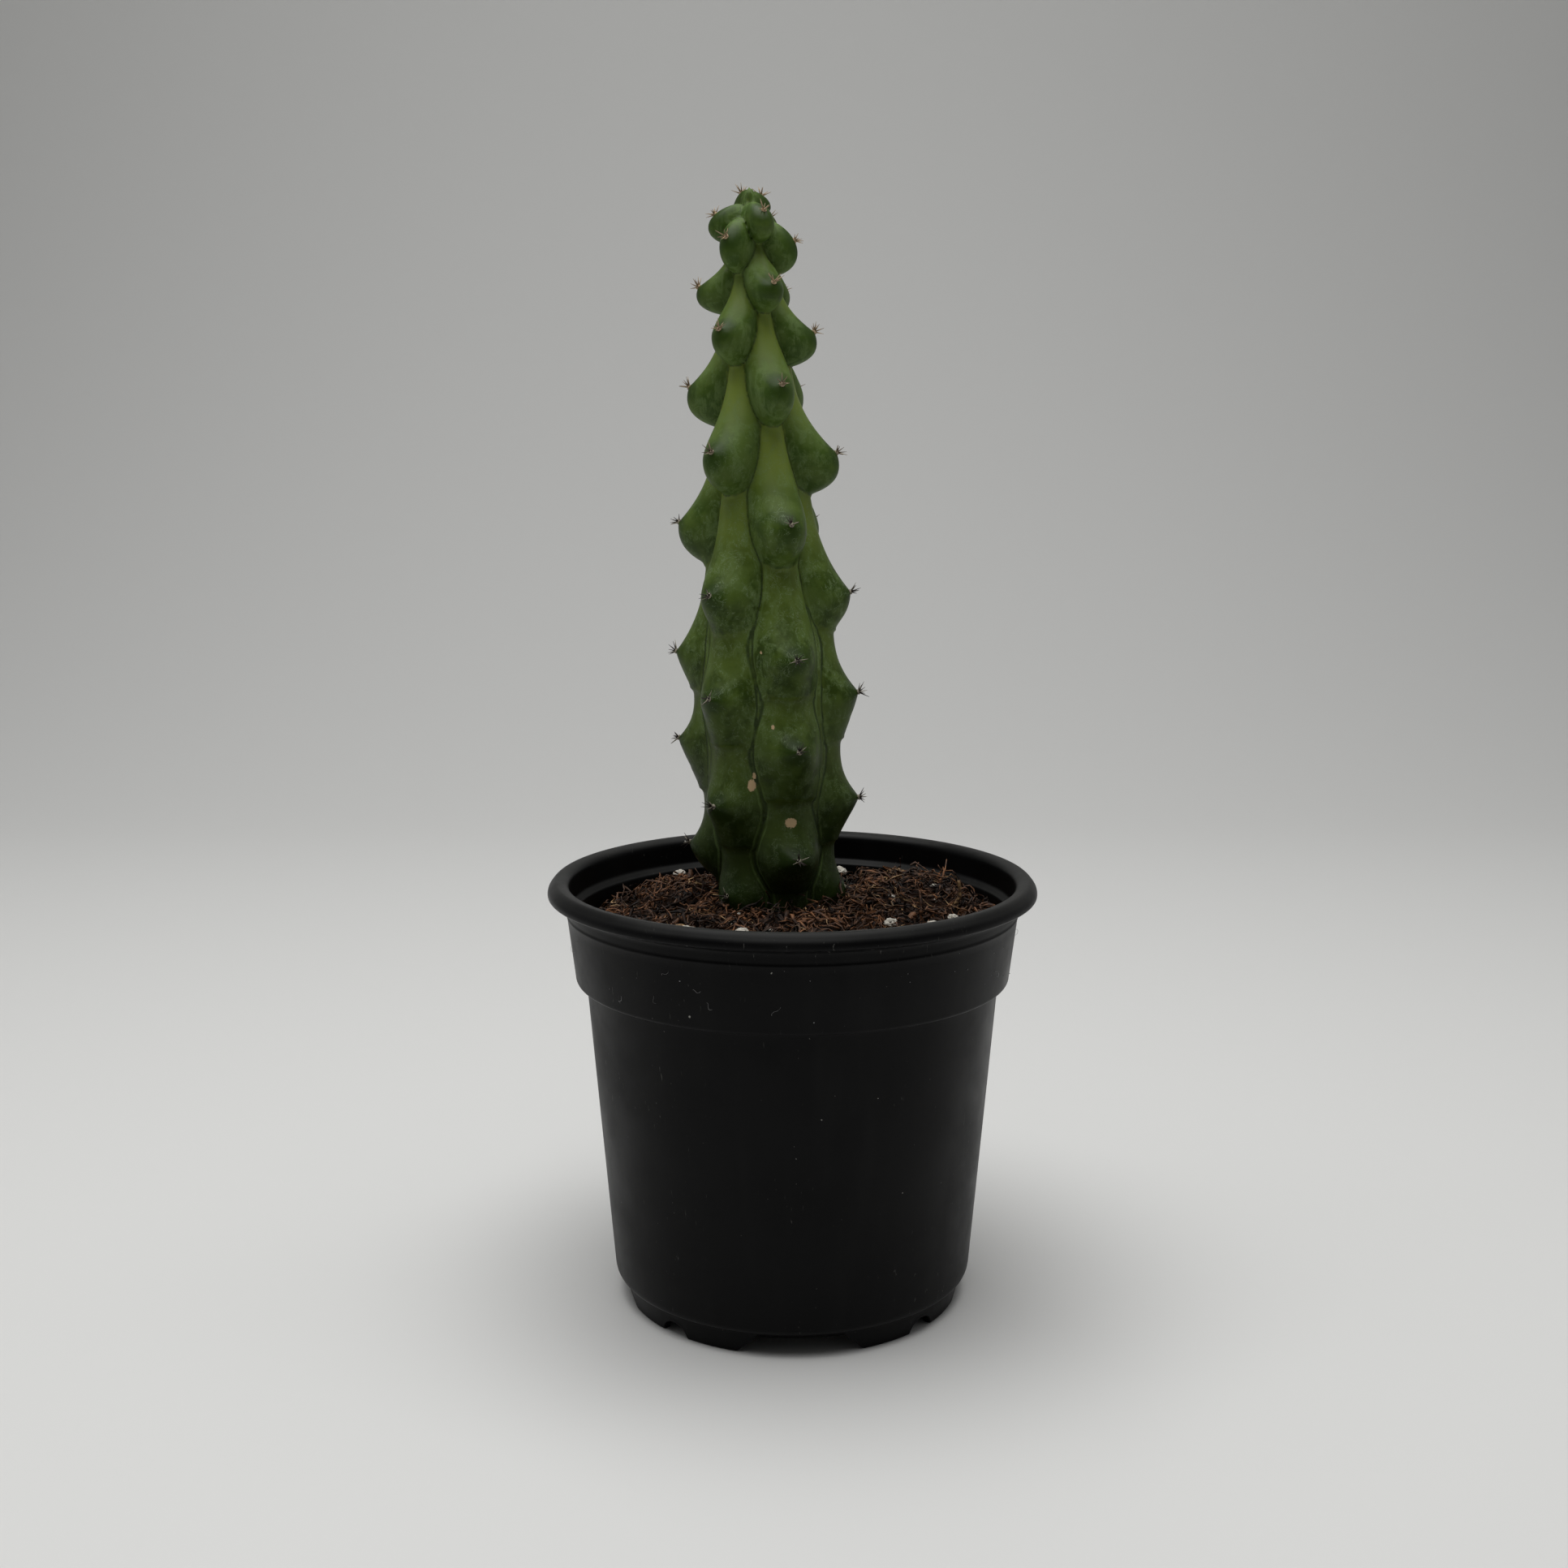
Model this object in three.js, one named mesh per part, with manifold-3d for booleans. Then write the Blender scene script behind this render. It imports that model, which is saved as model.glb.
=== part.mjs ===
// Potted tall cactus: a six-ribbed column with swollen tubercles, rooted in a round nursery pot.
// Millimetres, +Z up. The origin is on the ground under the middle of the pot and the front is -Y.
// Azimuths are degrees from the front, positive towards +X.

import * as THREE from "three";
import { mergeVertices } from "three/addons/utils/BufferGeometryUtils.js";
import Module from "manifold-3d";

const wasm = await Module();
wasm.setup();

// ---------------------------------------------------------------- driving dimensions: pot

const POT_HEIGHT = 97;
const RIM_RADIUS = 55;
const RIM_INNER_RADIUS = 50.1;
const RIM_LIP_HEIGHT = 3.4;
const COVE_HEIGHT = 4.2;
const COLLAR_TOP_RADIUS = 50.7;
const COLLAR_BOTTOM_RADIUS = 49;
const COLLAR_BOTTOM = 74.4;
const BODY_TOP_RADIUS = 46.6;
const BODY_BOTTOM_RADIUS = 41;
const BODY_BOTTOM = 5.6;
const FOOT_RADIUS = 39.2;
const FOOT_TAPER = 0.9;
const FOOT_WIDTH = 1.9;
const WALL = 1.2;
const FLOOR_UNDERSIDE = 4.8;
const EDGE_ROUND = 0.8;
const RIDGE = 0.2;
const POT_SEGMENTS = 48;

const NOTCH_TURN = 2.6;
const NOTCH_COUNT = 4;
const WIDE_NOTCH = { bottom: 28, top: 18.5, height: 4.4 };
const SMALL_NOTCH = { width: 7, height: 3 };
const DRAIN_RADIUS = 2.75;
const DRAIN_CIRCLE_RADIUS = 26;
const DRAIN_COUNT = 8;

// ---------------------------------------------------------------- driving dimensions: stem

const STEM_BUTT = 80;
const STEM_BUTT_ROUND = 9;
const STEM_ROWS = 73;
const STEM_ROW_STEP = 2.285;
const SOCKET_ROWS = 12;
const COLUMNS_PER_RIB = 7;
const LEAN = { height: 90, x: -3.9, perMm: -0.035 };
const TWIST = { height: 110, degreesPerMm: 0.05 };
const RIB_AZIMUTHS = [-100, -39, 18, 80, 140, 200];

// Heights of the areoles up one rib. Neighbouring ribs are half a step out of phase, and the two
// back ribs carry one newer tubercle each beside the growing point.
const FIRST_SERIES = [104, 128, 147.5, 176, 205, 226, 241];
const SECOND_SERIES = [95, 115.5, 139, 161, 191, 216.5, 235.5];
const NEWEST = { 4: 245.2, 5: 245.6 };

// Each profile is a list of [height, millimetres]: how far the tips, the creases under them and
// the valleys between ribs stand from the stem's axis, and the half width of a tubercle.
const TIP_REACH = [[80, 12], [95, 16.4], [104, 19.2], [128, 20.6], [147, 20.2], [176, 18.2],
  [191, 17], [205, 14.6], [226, 11.6], [241, 9], [245, 7], [247, 6.8]];
const CREASE_REACH = [[80, 11], [98, 13.2], [119, 15.8], [140, 16.6], [150, 15.6], [167, 12.3],
  [181, 11], [197, 8.8], [219, 6.6], [229, 5.2], [240, 3], [247, 1.6]];
const HALF_WIDTH = [[80, 7.6], [128, 8.2], [161, 7], [191, 5.4], [216, 4.4], [235, 3.2],
  [241, 2.9], [245, 1.95], [247, 1.8]];
const CORE_SHARE = [[80, 0.92], [150, 0.88], [200, 0.84], [230, 0.75], [238, 0.45], [247, 0.1]];
const NECK_SHARE = [[80, 0.97], [145, 0.95], [170, 0.8], [190, 0.62], [230, 0.45]];
const CREASE_DROP_SHARE = [[80, 0.46], [130, 0.46], [180, 0.35], [228, 0.33], [235, 0.45],
  [241, 0.48], [245, 1.1]];
const POINTEDNESS = [[80, 0.2], [98, 0.3], [112, 0.9], [150, 0.85], [185, 0.1], [200, 0]];
const OVERHANG = [[80, 1], [98, 1.2], [112, 0.4], [150, 0.7], [190, 1.7], [230, 1.2], [247, 0.3]];
const CROWN_RISE = [[235, 4], [241, 1.6], [245, 0.3], [247, 0.3]];
const KNOB_HEIGHT = 232;
const NECK_FLARE = 3;
const ROUND_BULGE = 0.45;
const SHARP_BULGE = 0.2;
const CAP_DEPTH_PER_WIDTH = 1.4;
const CAP_DEPTH_LIMIT = 0.9;
const THINNEST_KNOB = 0.1;
const LOWEST_GAP = 20;
const SEARCH_MARGIN = 3;
const SEARCH_STEP = 0.1;

// ---------------------------------------------------------------- driving dimensions: the rest

const GAP = 0.35;
const AREOLE_PAD = { radius: 1.15, height: 0.75 };
const AREOLE_SINK = 0.1;
const SPINE = { count: 4, radius: 0.24, length: 2.6, splay: 0.9 };
const MIX_RINGS = 9;
const MIX_SEGMENTS = 40;
const MIX_LEVEL = 89;
const MIX_TURN_DOWN = 2;
const MIX_TURN_DOWN_SHARPNESS = 8;

// Mounds and hollows of the potting mix: centre, how far it rises and how wide it spreads.
const MOUNDS = [
  { x: -4, y: 0, rise: 3.4, spread: 24 },
  { x: 30, y: 9, rise: 4.6, spread: 13 },
  { x: -24, y: 10, rise: 2.4, spread: 12 },
  { x: -2, y: -32, rise: 2.2, spread: 17 },
  { x: -2, y: 42, rise: -3, spread: 18 },
];

// Loose pieces on the mix: place, longest size and share of that size across and up.
const PERLITE = [
  { x: -22.5, y: -33, size: 5, across: 0.7, up: 0.5, turn: 20 },
  { x: -10.5, y: -37, size: 3.4, across: 0.8, up: 0.6, turn: 75 },
  { x: 21, y: -23, size: 2.8, across: 0.8, up: 0.7, turn: 140 },
  { x: 30, y: -22, size: 2.6, across: 0.9, up: 0.7, turn: 10 },
  { x: 35, y: -16, size: 2.2, across: 0.8, up: 0.8, turn: 50 },
  { x: 12, y: 36, size: 3.6, across: 0.7, up: 0.6, turn: 100 },
  { x: -27, y: 28, size: 3, across: 0.8, up: 0.6, turn: 30 },
];
const BARK_CHIPS = [
  { x: -24, y: -28, size: 4.6, across: 0.55, up: 0.35, turn: 35 },
  { x: 25, y: 26, size: 5.4, across: 0.5, up: 0.3, turn: 120 },
];
const TWIG = { x: 37, y: -4, radius: 0.4, length: 5.5, tilt: 12 };

// ---------------------------------------------------------------- materials

const material = (color, roughness) => new THREE.MeshStandardMaterial({ color, roughness, metalness: 0 });
const POT_PLASTIC = material(0x1d1d1f, 0.55);
const MIX_EARTH = material(0x4a2c1c, 0.95);
const STEM_SKIN = material(0x5f7a45, 0.5);
const SPINE_WOOD = material(0xa08468, 0.7);
const PERLITE_WHITE = material(0xdedad0, 0.9);
const BARK_WOOD = material(0x9c7a52, 0.85);

// ---------------------------------------------------------------- helpers

const { degToRad, lerp, clamp } = THREE.MathUtils;

function read(profile, height) {
  const above = profile.findIndex(([level]) => level > height);
  if (above === 0) return profile[0][1];
  if (above < 0) return profile[profile.length - 1][1];
  const [low, lowValue] = profile[above - 1];
  const [high, highValue] = profile[above];
  return lerp(lowValue, highValue, (height - low) / (high - low));
}

// Keeps only the shape: one shared vertex per corner and no triangle that has collapsed to a line.
function closed(geometry) {
  const bare = geometry.clone();
  bare.deleteAttribute("normal");
  bare.deleteAttribute("uv");
  const merged = mergeVertices(bare, 1e-4);
  const corners = merged.index.array;
  const kept = [];
  for (let i = 0; i < corners.length; i += 3) {
    const [a, b, c] = corners.slice(i, i + 3);
    if (a !== b && b !== c && c !== a) kept.push(a, b, c);
  }
  merged.setIndex(kept);
  return merged;
}

function toSolid(geometry) {
  const shape = closed(geometry);
  return new wasm.Manifold(new wasm.Mesh({
    numProp: 3,
    vertProperties: new Float32Array(shape.attributes.position.array),
    triVerts: new Uint32Array(shape.index.array),
  }));
}

function fromSolid(solid) {
  const mesh = solid.getMesh();
  const geometry = new THREE.BufferGeometry();
  geometry.setAttribute("position", new THREE.BufferAttribute(new Float32Array(mesh.vertProperties), 3));
  geometry.setIndex(Array.from(mesh.triVerts));
  return geometry;
}

function turned(profile, segments) {
  return new THREE.LatheGeometry(profile, segments).rotateX(Math.PI / 2);
}

function named(name, geometry, look) {
  const mesh = new THREE.Mesh(geometry, look);
  mesh.name = name;
  return mesh;
}

// ---------------------------------------------------------------- pot

// The pot's section from the middle of the floor, up the inside, over the rim and down the outside.
function potSection() {
  const floorTop = FLOOR_UNDERSIDE + WALL;
  const lipBottom = POT_HEIGHT - RIM_LIP_HEIGHT;
  const collarTop = lipBottom - COVE_HEIGHT;
  const rimMiddle = (RIM_RADIUS + RIM_INNER_RADIUS) / 2;
  const section = new THREE.Path();
  section.moveTo(0, floorTop);
  section.lineTo(BODY_BOTTOM_RADIUS - WALL - 2 * EDGE_ROUND, floorTop);
  section.lineTo(BODY_BOTTOM_RADIUS - WALL, floorTop + 2 * EDGE_ROUND);
  section.lineTo(BODY_TOP_RADIUS - WALL, COLLAR_BOTTOM);
  section.lineTo(COLLAR_BOTTOM_RADIUS - WALL, COLLAR_BOTTOM + WALL);
  section.lineTo(COLLAR_TOP_RADIUS - WALL - EDGE_ROUND, collarTop);
  section.lineTo(RIM_INNER_RADIUS, collarTop + WALL);
  section.lineTo(RIM_INNER_RADIUS, POT_HEIGHT - 2 * EDGE_ROUND);
  section.quadraticCurveTo(RIM_INNER_RADIUS, POT_HEIGHT, rimMiddle, POT_HEIGHT);
  section.quadraticCurveTo(RIM_RADIUS, POT_HEIGHT, RIM_RADIUS, lipBottom + EDGE_ROUND);
  section.quadraticCurveTo(RIM_RADIUS, lipBottom, RIM_RADIUS - EDGE_ROUND, lipBottom);
  section.lineTo(COLLAR_TOP_RADIUS + EDGE_ROUND, lipBottom - EDGE_ROUND);
  section.lineTo(COLLAR_TOP_RADIUS, collarTop + EDGE_ROUND);
  section.lineTo(COLLAR_TOP_RADIUS + RIDGE, collarTop);
  section.lineTo(COLLAR_BOTTOM_RADIUS, COLLAR_BOTTOM + EDGE_ROUND);
  section.lineTo(COLLAR_BOTTOM_RADIUS - EDGE_ROUND, COLLAR_BOTTOM);
  section.lineTo(BODY_TOP_RADIUS, COLLAR_BOTTOM - EDGE_ROUND / 2);
  section.lineTo(BODY_BOTTOM_RADIUS, BODY_BOTTOM + 2 * EDGE_ROUND);
  section.lineTo(BODY_BOTTOM_RADIUS - EDGE_ROUND, BODY_BOTTOM);
  section.lineTo(FOOT_RADIUS, BODY_BOTTOM - EDGE_ROUND / 2);
  section.lineTo(FOOT_RADIUS - FOOT_TAPER, 0);
  section.lineTo(FOOT_RADIUS - FOOT_TAPER - FOOT_WIDTH, 0);
  section.lineTo(FOOT_RADIUS - FOOT_WIDTH, FLOOR_UNDERSIDE);
  section.lineTo(0, FLOOR_UNDERSIDE);
  return section.getPoints(3).reverse();
}

// A cutter that runs outwards from the middle, as wide as its outline in the foot's wall.
function footCutter(outline, azimuth) {
  const start = FOOT_RADIUS - 3 * FOOT_WIDTH;
  const cutter = new THREE.ExtrudeGeometry(outline, { depth: 4 * FOOT_WIDTH, bevelEnabled: false });
  cutter.rotateX(Math.PI / 2);
  cutter.translate(0, -start, 0);
  return cutter.rotateZ(degToRad(azimuth));
}

function wideNotchOutline() {
  const below = -1;
  return new THREE.Shape([
    new THREE.Vector2(-WIDE_NOTCH.bottom / 2, below),
    new THREE.Vector2(WIDE_NOTCH.bottom / 2, below),
    new THREE.Vector2(WIDE_NOTCH.bottom / 2, 0),
    new THREE.Vector2(WIDE_NOTCH.top / 2, WIDE_NOTCH.height),
    new THREE.Vector2(-WIDE_NOTCH.top / 2, WIDE_NOTCH.height),
    new THREE.Vector2(-WIDE_NOTCH.bottom / 2, 0),
  ]);
}

function smallNotchOutline() {
  const below = -1;
  const half = SMALL_NOTCH.width / 2;
  const outline = new THREE.Shape();
  outline.moveTo(-half, below);
  outline.lineTo(half, below);
  outline.quadraticCurveTo(half, SMALL_NOTCH.height, 0, SMALL_NOTCH.height);
  outline.quadraticCurveTo(-half, SMALL_NOTCH.height, -half, below);
  return outline;
}

function drainCutter(azimuth, radius) {
  const cutter = new THREE.CylinderGeometry(DRAIN_RADIUS, DRAIN_RADIUS, 4 * WALL, 12);
  cutter.rotateX(Math.PI / 2);
  cutter.translate(0, -radius, FLOOR_UNDERSIDE + WALL / 2);
  return cutter.rotateZ(degToRad(azimuth));
}

function makePot() {
  let solid = toSolid(turned(potSection(), POT_SEGMENTS));
  const step = 360 / NOTCH_COUNT;
  for (let i = 0; i < NOTCH_COUNT; i += 1) {
    const azimuth = NOTCH_TURN + i * step;
    solid = solid.subtract(toSolid(footCutter(wideNotchOutline(), azimuth)));
    solid = solid.subtract(toSolid(footCutter(smallNotchOutline(), azimuth + step / 2)));
  }
  for (let i = 0; i < DRAIN_COUNT; i += 1) {
    solid = solid.subtract(toSolid(drainCutter(NOTCH_TURN + (i * 360) / DRAIN_COUNT, DRAIN_CIRCLE_RADIUS)));
  }
  solid = solid.subtract(toSolid(drainCutter(0, 0)));
  return named("pot", fromSolid(solid), POT_PLASTIC);
}

// ---------------------------------------------------------------- stem

const stemAxisX = (height) => LEAN.x + LEAN.perMm * (height - LEAN.height);

const ribAzimuth = (rib, height) => RIB_AZIMUTHS[rib] + TWIST.degreesPerMm * (height - TWIST.height);

function areoleHeights(rib) {
  const series = rib % 2 === 0 ? FIRST_SERIES : SECOND_SERIES;
  return rib in NEWEST ? [...series, NEWEST[rib]] : series;
}

// One rib's tubercles from the lowest up, each between the crease under it and the one above it.
// The newest ones, around the growing point, are separate egg-shaped knobs.
function tubercles(rib) {
  const tips = areoleHeights(rib);
  const creaseUnder = (i) => {
    const below = i > 0 ? tips[i - 1] : tips[0] - LOWEST_GAP;
    return tips[i] - read(CREASE_DROP_SHARE, tips[i]) * (tips[i] - below);
  };
  const row = tips.map((tip, i) => {
    const knob = tip > KNOB_HEIGHT;
    return { foot: creaseUnder(i), tip, head: knob ? tip + read(CROWN_RISE, tip) : creaseUnder(i + 1), knob };
  });
  row.unshift({ foot: STEM_BUTT - STEM_BUTT_ROUND, tip: STEM_BUTT, head: row[0].foot, knob: false });
  return row;
}

const RIBS = RIB_AZIMUTHS.map((_, rib) => tubercles(rib));

function knobSection(part, height) {
  const fromMiddle = (2 * height - part.head - part.foot) / (part.head - part.foot);
  const bulge = Math.sqrt(1 - fromMiddle * fromMiddle);
  const root = read(CREASE_REACH, part.head) / 2;
  return {
    crest: lerp(root, read(TIP_REACH, part.tip), bulge),
    halfWidth: read(HALF_WIDTH, part.tip) * Math.max(bulge, THINNEST_KNOB),
  };
}

function tubercleSection(part, height) {
  const down = (part.head - height) / (part.head - part.foot);
  const tipDown = (part.head - part.tip) / (part.head - part.foot);
  const headReach = read(CREASE_REACH, part.head);
  const footReach = read(CREASE_REACH, part.foot);
  const tipRise = read(TIP_REACH, part.tip) - lerp(headReach, footReach, tipDown);
  const belowTip = clamp((down - tipDown) / (1 - tipDown), 0, 1);
  const aboveTip = clamp(1 - down / tipDown, 0, 1);
  const round = (1 - belowTip * belowTip) * (1 + ROUND_BULGE * belowTip);
  const sharp = (1 - belowTip) * (1 + SHARP_BULGE * belowTip);
  const swell = aboveTip > 0 ? (1 - aboveTip) ** NECK_FLARE : lerp(round, sharp, read(POINTEDNESS, part.tip));
  const widest = read(HALF_WIDTH, part.tip);
  const neck = widest * read(NECK_SHARE, part.head);
  const narrowing = Math.sqrt(1 - Math.max(aboveTip, belowTip) ** 2);
  return {
    crest: lerp(headReach, footReach, down) + tipRise * swell,
    halfWidth: lerp(neck, widest, narrowing),
  };
}

// How far the rib's crest stands out and how wide the rib is at one height.
function ribSection(rib, height) {
  return RIBS[rib]
    .filter(({ foot, head }) => height >= foot && height <= head)
    .map((part) => (part.knob ? knobSection(part, height) : tubercleSection(part, height)))
    .sort((a, b) => b.crest - a.crest)[0];
}

// Below zero inside one rib. outward and across are measured from the stem's axis along the rib.
function ribField(rib, outward, across, height) {
  const tipReach = read(TIP_REACH, height);
  const creaseReach = read(CREASE_REACH, height);
  const proud = clamp((outward - creaseReach) / (tipReach - creaseReach), 0, 1);
  const section = ribSection(rib, height - read(OVERHANG, height) * (1 - proud));
  if (section === undefined) return 1;
  const { crest, halfWidth } = section;
  const depth = Math.min(CAP_DEPTH_PER_WIDTH * halfWidth, CAP_DEPTH_LIMIT * crest);
  const along = Math.max(outward - (crest - depth), 0) / depth;
  return Math.hypot(along, across / halfWidth) - 1;
}

// The stem's radius about its axis at one azimuth and height: the furthest point inside a rib.
function stemRadius(azimuth, height) {
  const core = read(CORE_SHARE, height) * read(CREASE_REACH, height);
  let radius = read(TIP_REACH, height) + SEARCH_MARGIN;
  while (radius > core) {
    const inside = RIBS.some((_, rib) => {
      const turn = degToRad(azimuth - ribAzimuth(rib, height));
      const outward = radius * Math.cos(turn);
      return outward > 0 && ribField(rib, outward, radius * Math.sin(turn), height) < 0;
    });
    if (inside) break;
    radius -= SEARCH_STEP;
  }
  const intoButt = clamp((STEM_BUTT + STEM_BUTT_ROUND - height) / STEM_BUTT_ROUND, 0, 1);
  return Math.max(radius, core) * Math.sqrt(1 - intoButt * intoButt);
}

function stemPoint(azimuth, height, extra = 0) {
  const radius = stemRadius(azimuth, height) + extra;
  const angle = degToRad(azimuth);
  return new THREE.Vector3(stemAxisX(height) + radius * Math.sin(angle), -radius * Math.cos(angle), height);
}

// A column with one row of vertices up each crest, pulled in and out to the stem's surface.
function stemGeometry(rows, extra) {
  const columns = RIB_AZIMUTHS.length * COLUMNS_PER_RIB;
  const profile = [new THREE.Vector2(0, STEM_BUTT - extra)];
  for (let row = 0; row <= rows; row += 1) {
    profile.push(new THREE.Vector2(1, STEM_BUTT + row * STEM_ROW_STEP - (row === 0 ? extra : 0)));
  }
  profile.push(new THREE.Vector2(0, STEM_BUTT + rows * STEM_ROW_STEP));
  const geometry = turned(profile, columns);
  const place = geometry.attributes.position;
  for (let i = 0; i < place.count; i += 1) {
    const height = place.getZ(i);
    if (Math.hypot(place.getX(i), place.getY(i)) < 0.5) {
      place.setXYZ(i, stemAxisX(height), 0, height);
      continue;
    }
    const turn = Math.atan2(place.getX(i), -place.getY(i)) / (2 * Math.PI);
    const column = (Math.round(turn * columns) + columns) % columns;
    const rib = Math.floor(column / COLUMNS_PER_RIB);
    const nextRib = (rib + 1) % RIB_AZIMUTHS.length;
    const azimuth = lerp(
      ribAzimuth(rib, height),
      ribAzimuth(nextRib, height) + (nextRib === 0 ? 360 : 0),
      (column % COLUMNS_PER_RIB) / COLUMNS_PER_RIB,
    );
    const point = stemPoint(azimuth, height, extra);
    place.setXYZ(i, point.x, point.y, point.z);
  }
  return closed(geometry);
}

const makeStem = () => named("cactus_stem", stemGeometry(STEM_ROWS, 0), STEM_SKIN);

// ---------------------------------------------------------------- areoles

// A woolly pad with a few short spines, its base at the origin and facing +Z.
function areoleGeometry() {
  const pad = new THREE.SphereGeometry(AREOLE_PAD.radius, 6, 3);
  pad.rotateX(Math.PI / 2);
  pad.scale(1, 1, AREOLE_PAD.height / AREOLE_PAD.radius / 2);
  pad.translate(0, 0, AREOLE_PAD.height / 2);
  let solid = toSolid(pad);
  for (let i = 0; i < SPINE.count; i += 1) {
    const spine = new THREE.ConeGeometry(SPINE.radius, SPINE.length, 3);
    spine.translate(0, SPINE.length / 2, 0);
    spine.rotateX(Math.PI / 2 - SPINE.splay);
    spine.rotateZ(((i + 0.5) * 2 * Math.PI) / SPINE.count);
    spine.translate(0, 0, AREOLE_PAD.height / 3);
    solid = solid.add(toSolid(spine));
  }
  return fromSolid(solid);
}

function makeAreoles() {
  const shape = areoleGeometry();
  const group = new THREE.Group();
  RIB_AZIMUTHS.forEach((_, rib) => {
    areoleHeights(rib).forEach((height, i) => {
      const azimuth = ribAzimuth(rib, height);
      const above = stemPoint(azimuth, height + 1);
      const below = stemPoint(azimuth, height - 1);
      const side = new THREE.Vector3(Math.cos(degToRad(azimuth)), Math.sin(degToRad(azimuth)), 0);
      const normal = new THREE.Vector3().subVectors(above, below).cross(side).negate().normalize();
      const areole = named(`areole_${rib + 1}_${i + 1}`, shape, SPINE_WOOD);
      areole.position.copy(stemPoint(azimuth, height)).addScaledVector(normal, GAP - AREOLE_SINK);
      areole.quaternion.setFromUnitVectors(new THREE.Vector3(0, 0, 1), normal);
      group.add(areole);
    });
  });
  return group;
}

// ---------------------------------------------------------------- potting mix

function mixLevel(x, y) {
  return MOUNDS.reduce((level, mound) => {
    const distance = Math.hypot(x - mound.x, y - mound.y);
    return level + mound.rise * Math.exp(-((distance / mound.spread) ** 2));
  }, MIX_LEVEL);
}

function makeMix() {
  const floor = FLOOR_UNDERSIDE + WALL + GAP;
  const bodyGap = WALL + GAP;
  const edge = RIM_INNER_RADIUS - 2 * EDGE_ROUND - GAP;
  const profile = [
    new THREE.Vector2(0, floor),
    new THREE.Vector2(BODY_BOTTOM_RADIUS - bodyGap - 2 * EDGE_ROUND - GAP, floor),
    new THREE.Vector2(BODY_BOTTOM_RADIUS - bodyGap, floor + 2 * EDGE_ROUND + GAP),
    new THREE.Vector2(BODY_TOP_RADIUS - bodyGap, COLLAR_BOTTOM + GAP),
    new THREE.Vector2(COLLAR_BOTTOM_RADIUS - bodyGap, COLLAR_BOTTOM + WALL + 2 * GAP),
    new THREE.Vector2(edge - GAP, MIX_LEVEL - 3 * MIX_TURN_DOWN),
  ];
  for (let ring = MIX_RINGS; ring >= 0; ring -= 1) {
    profile.push(new THREE.Vector2(((edge - GAP) * ring) / MIX_RINGS, MIX_LEVEL));
  }
  const geometry = turned(profile, MIX_SEGMENTS);
  const place = geometry.attributes.position;
  for (let i = 0; i < place.count; i += 1) {
    if (place.getZ(i) < MIX_LEVEL) continue;
    const outer = Math.hypot(place.getX(i), place.getY(i)) / edge;
    place.setZ(i, mixLevel(place.getX(i), place.getY(i)) - MIX_TURN_DOWN * outer ** MIX_TURN_DOWN_SHARPNESS);
  }
  const socket = stemGeometry(SOCKET_ROWS, 2 * GAP);
  return named("potting_mix", fromSolid(toSolid(geometry).subtract(toSolid(socket))), MIX_EARTH);
}

// ---------------------------------------------------------------- loose pieces on the mix

function grain({ x, y, size, across, up, turn }) {
  const shape = new THREE.IcosahedronGeometry(size / 2, 0);
  shape.scale(1, across, up);
  shape.rotateZ(degToRad(turn));
  shape.computeBoundingBox();
  const reach = size / 2;
  const corners = [[-reach, -reach], [-reach, reach], [reach, -reach], [reach, reach], [0, 0]];
  const ground = Math.max(...corners.map(([dx, dy]) => mixLevel(x + dx, y + dy)));
  shape.translate(x, y, ground - shape.boundingBox.min.z + GAP);
  return closed(shape);
}

function makeTwig() {
  const shape = new THREE.CylinderGeometry(TWIG.radius, TWIG.radius * 0.7, TWIG.length, 6);
  shape.rotateX(Math.PI / 2);
  shape.rotateY(degToRad(TWIG.tilt));
  shape.translate(TWIG.x, TWIG.y, mixLevel(TWIG.x, TWIG.y) + TWIG.length / 2 + 2 * GAP);
  return named("twig", closed(shape), BARK_WOOD);
}

function makeLoosePieces() {
  const group = new THREE.Group();
  PERLITE.forEach((piece, i) => group.add(named(`perlite_${i + 1}`, grain(piece), PERLITE_WHITE)));
  BARK_CHIPS.forEach((piece, i) => group.add(named(`bark_chip_${i + 1}`, grain(piece), BARK_WOOD)));
  group.add(makeTwig());
  return group;
}

// ---------------------------------------------------------------- the whole plant

const pottedCactus = new THREE.Group();
pottedCactus.add(makePot(), makeMix(), makeStem(), makeAreoles(), makeLoosePieces());

export default pottedCactus;
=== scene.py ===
# Potted tall cactus: the finished look of a six-ribbed column in a round nursery pot.
# The file is laid out as an add-on. Sizes in the tables are millimetres unless they say otherwise.

import math

import bpy
import bmesh
import numpy as np
from bpy.props import FloatProperty, FloatVectorProperty, IntProperty, PointerProperty
from mathutils import Matrix, Vector, noise


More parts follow.
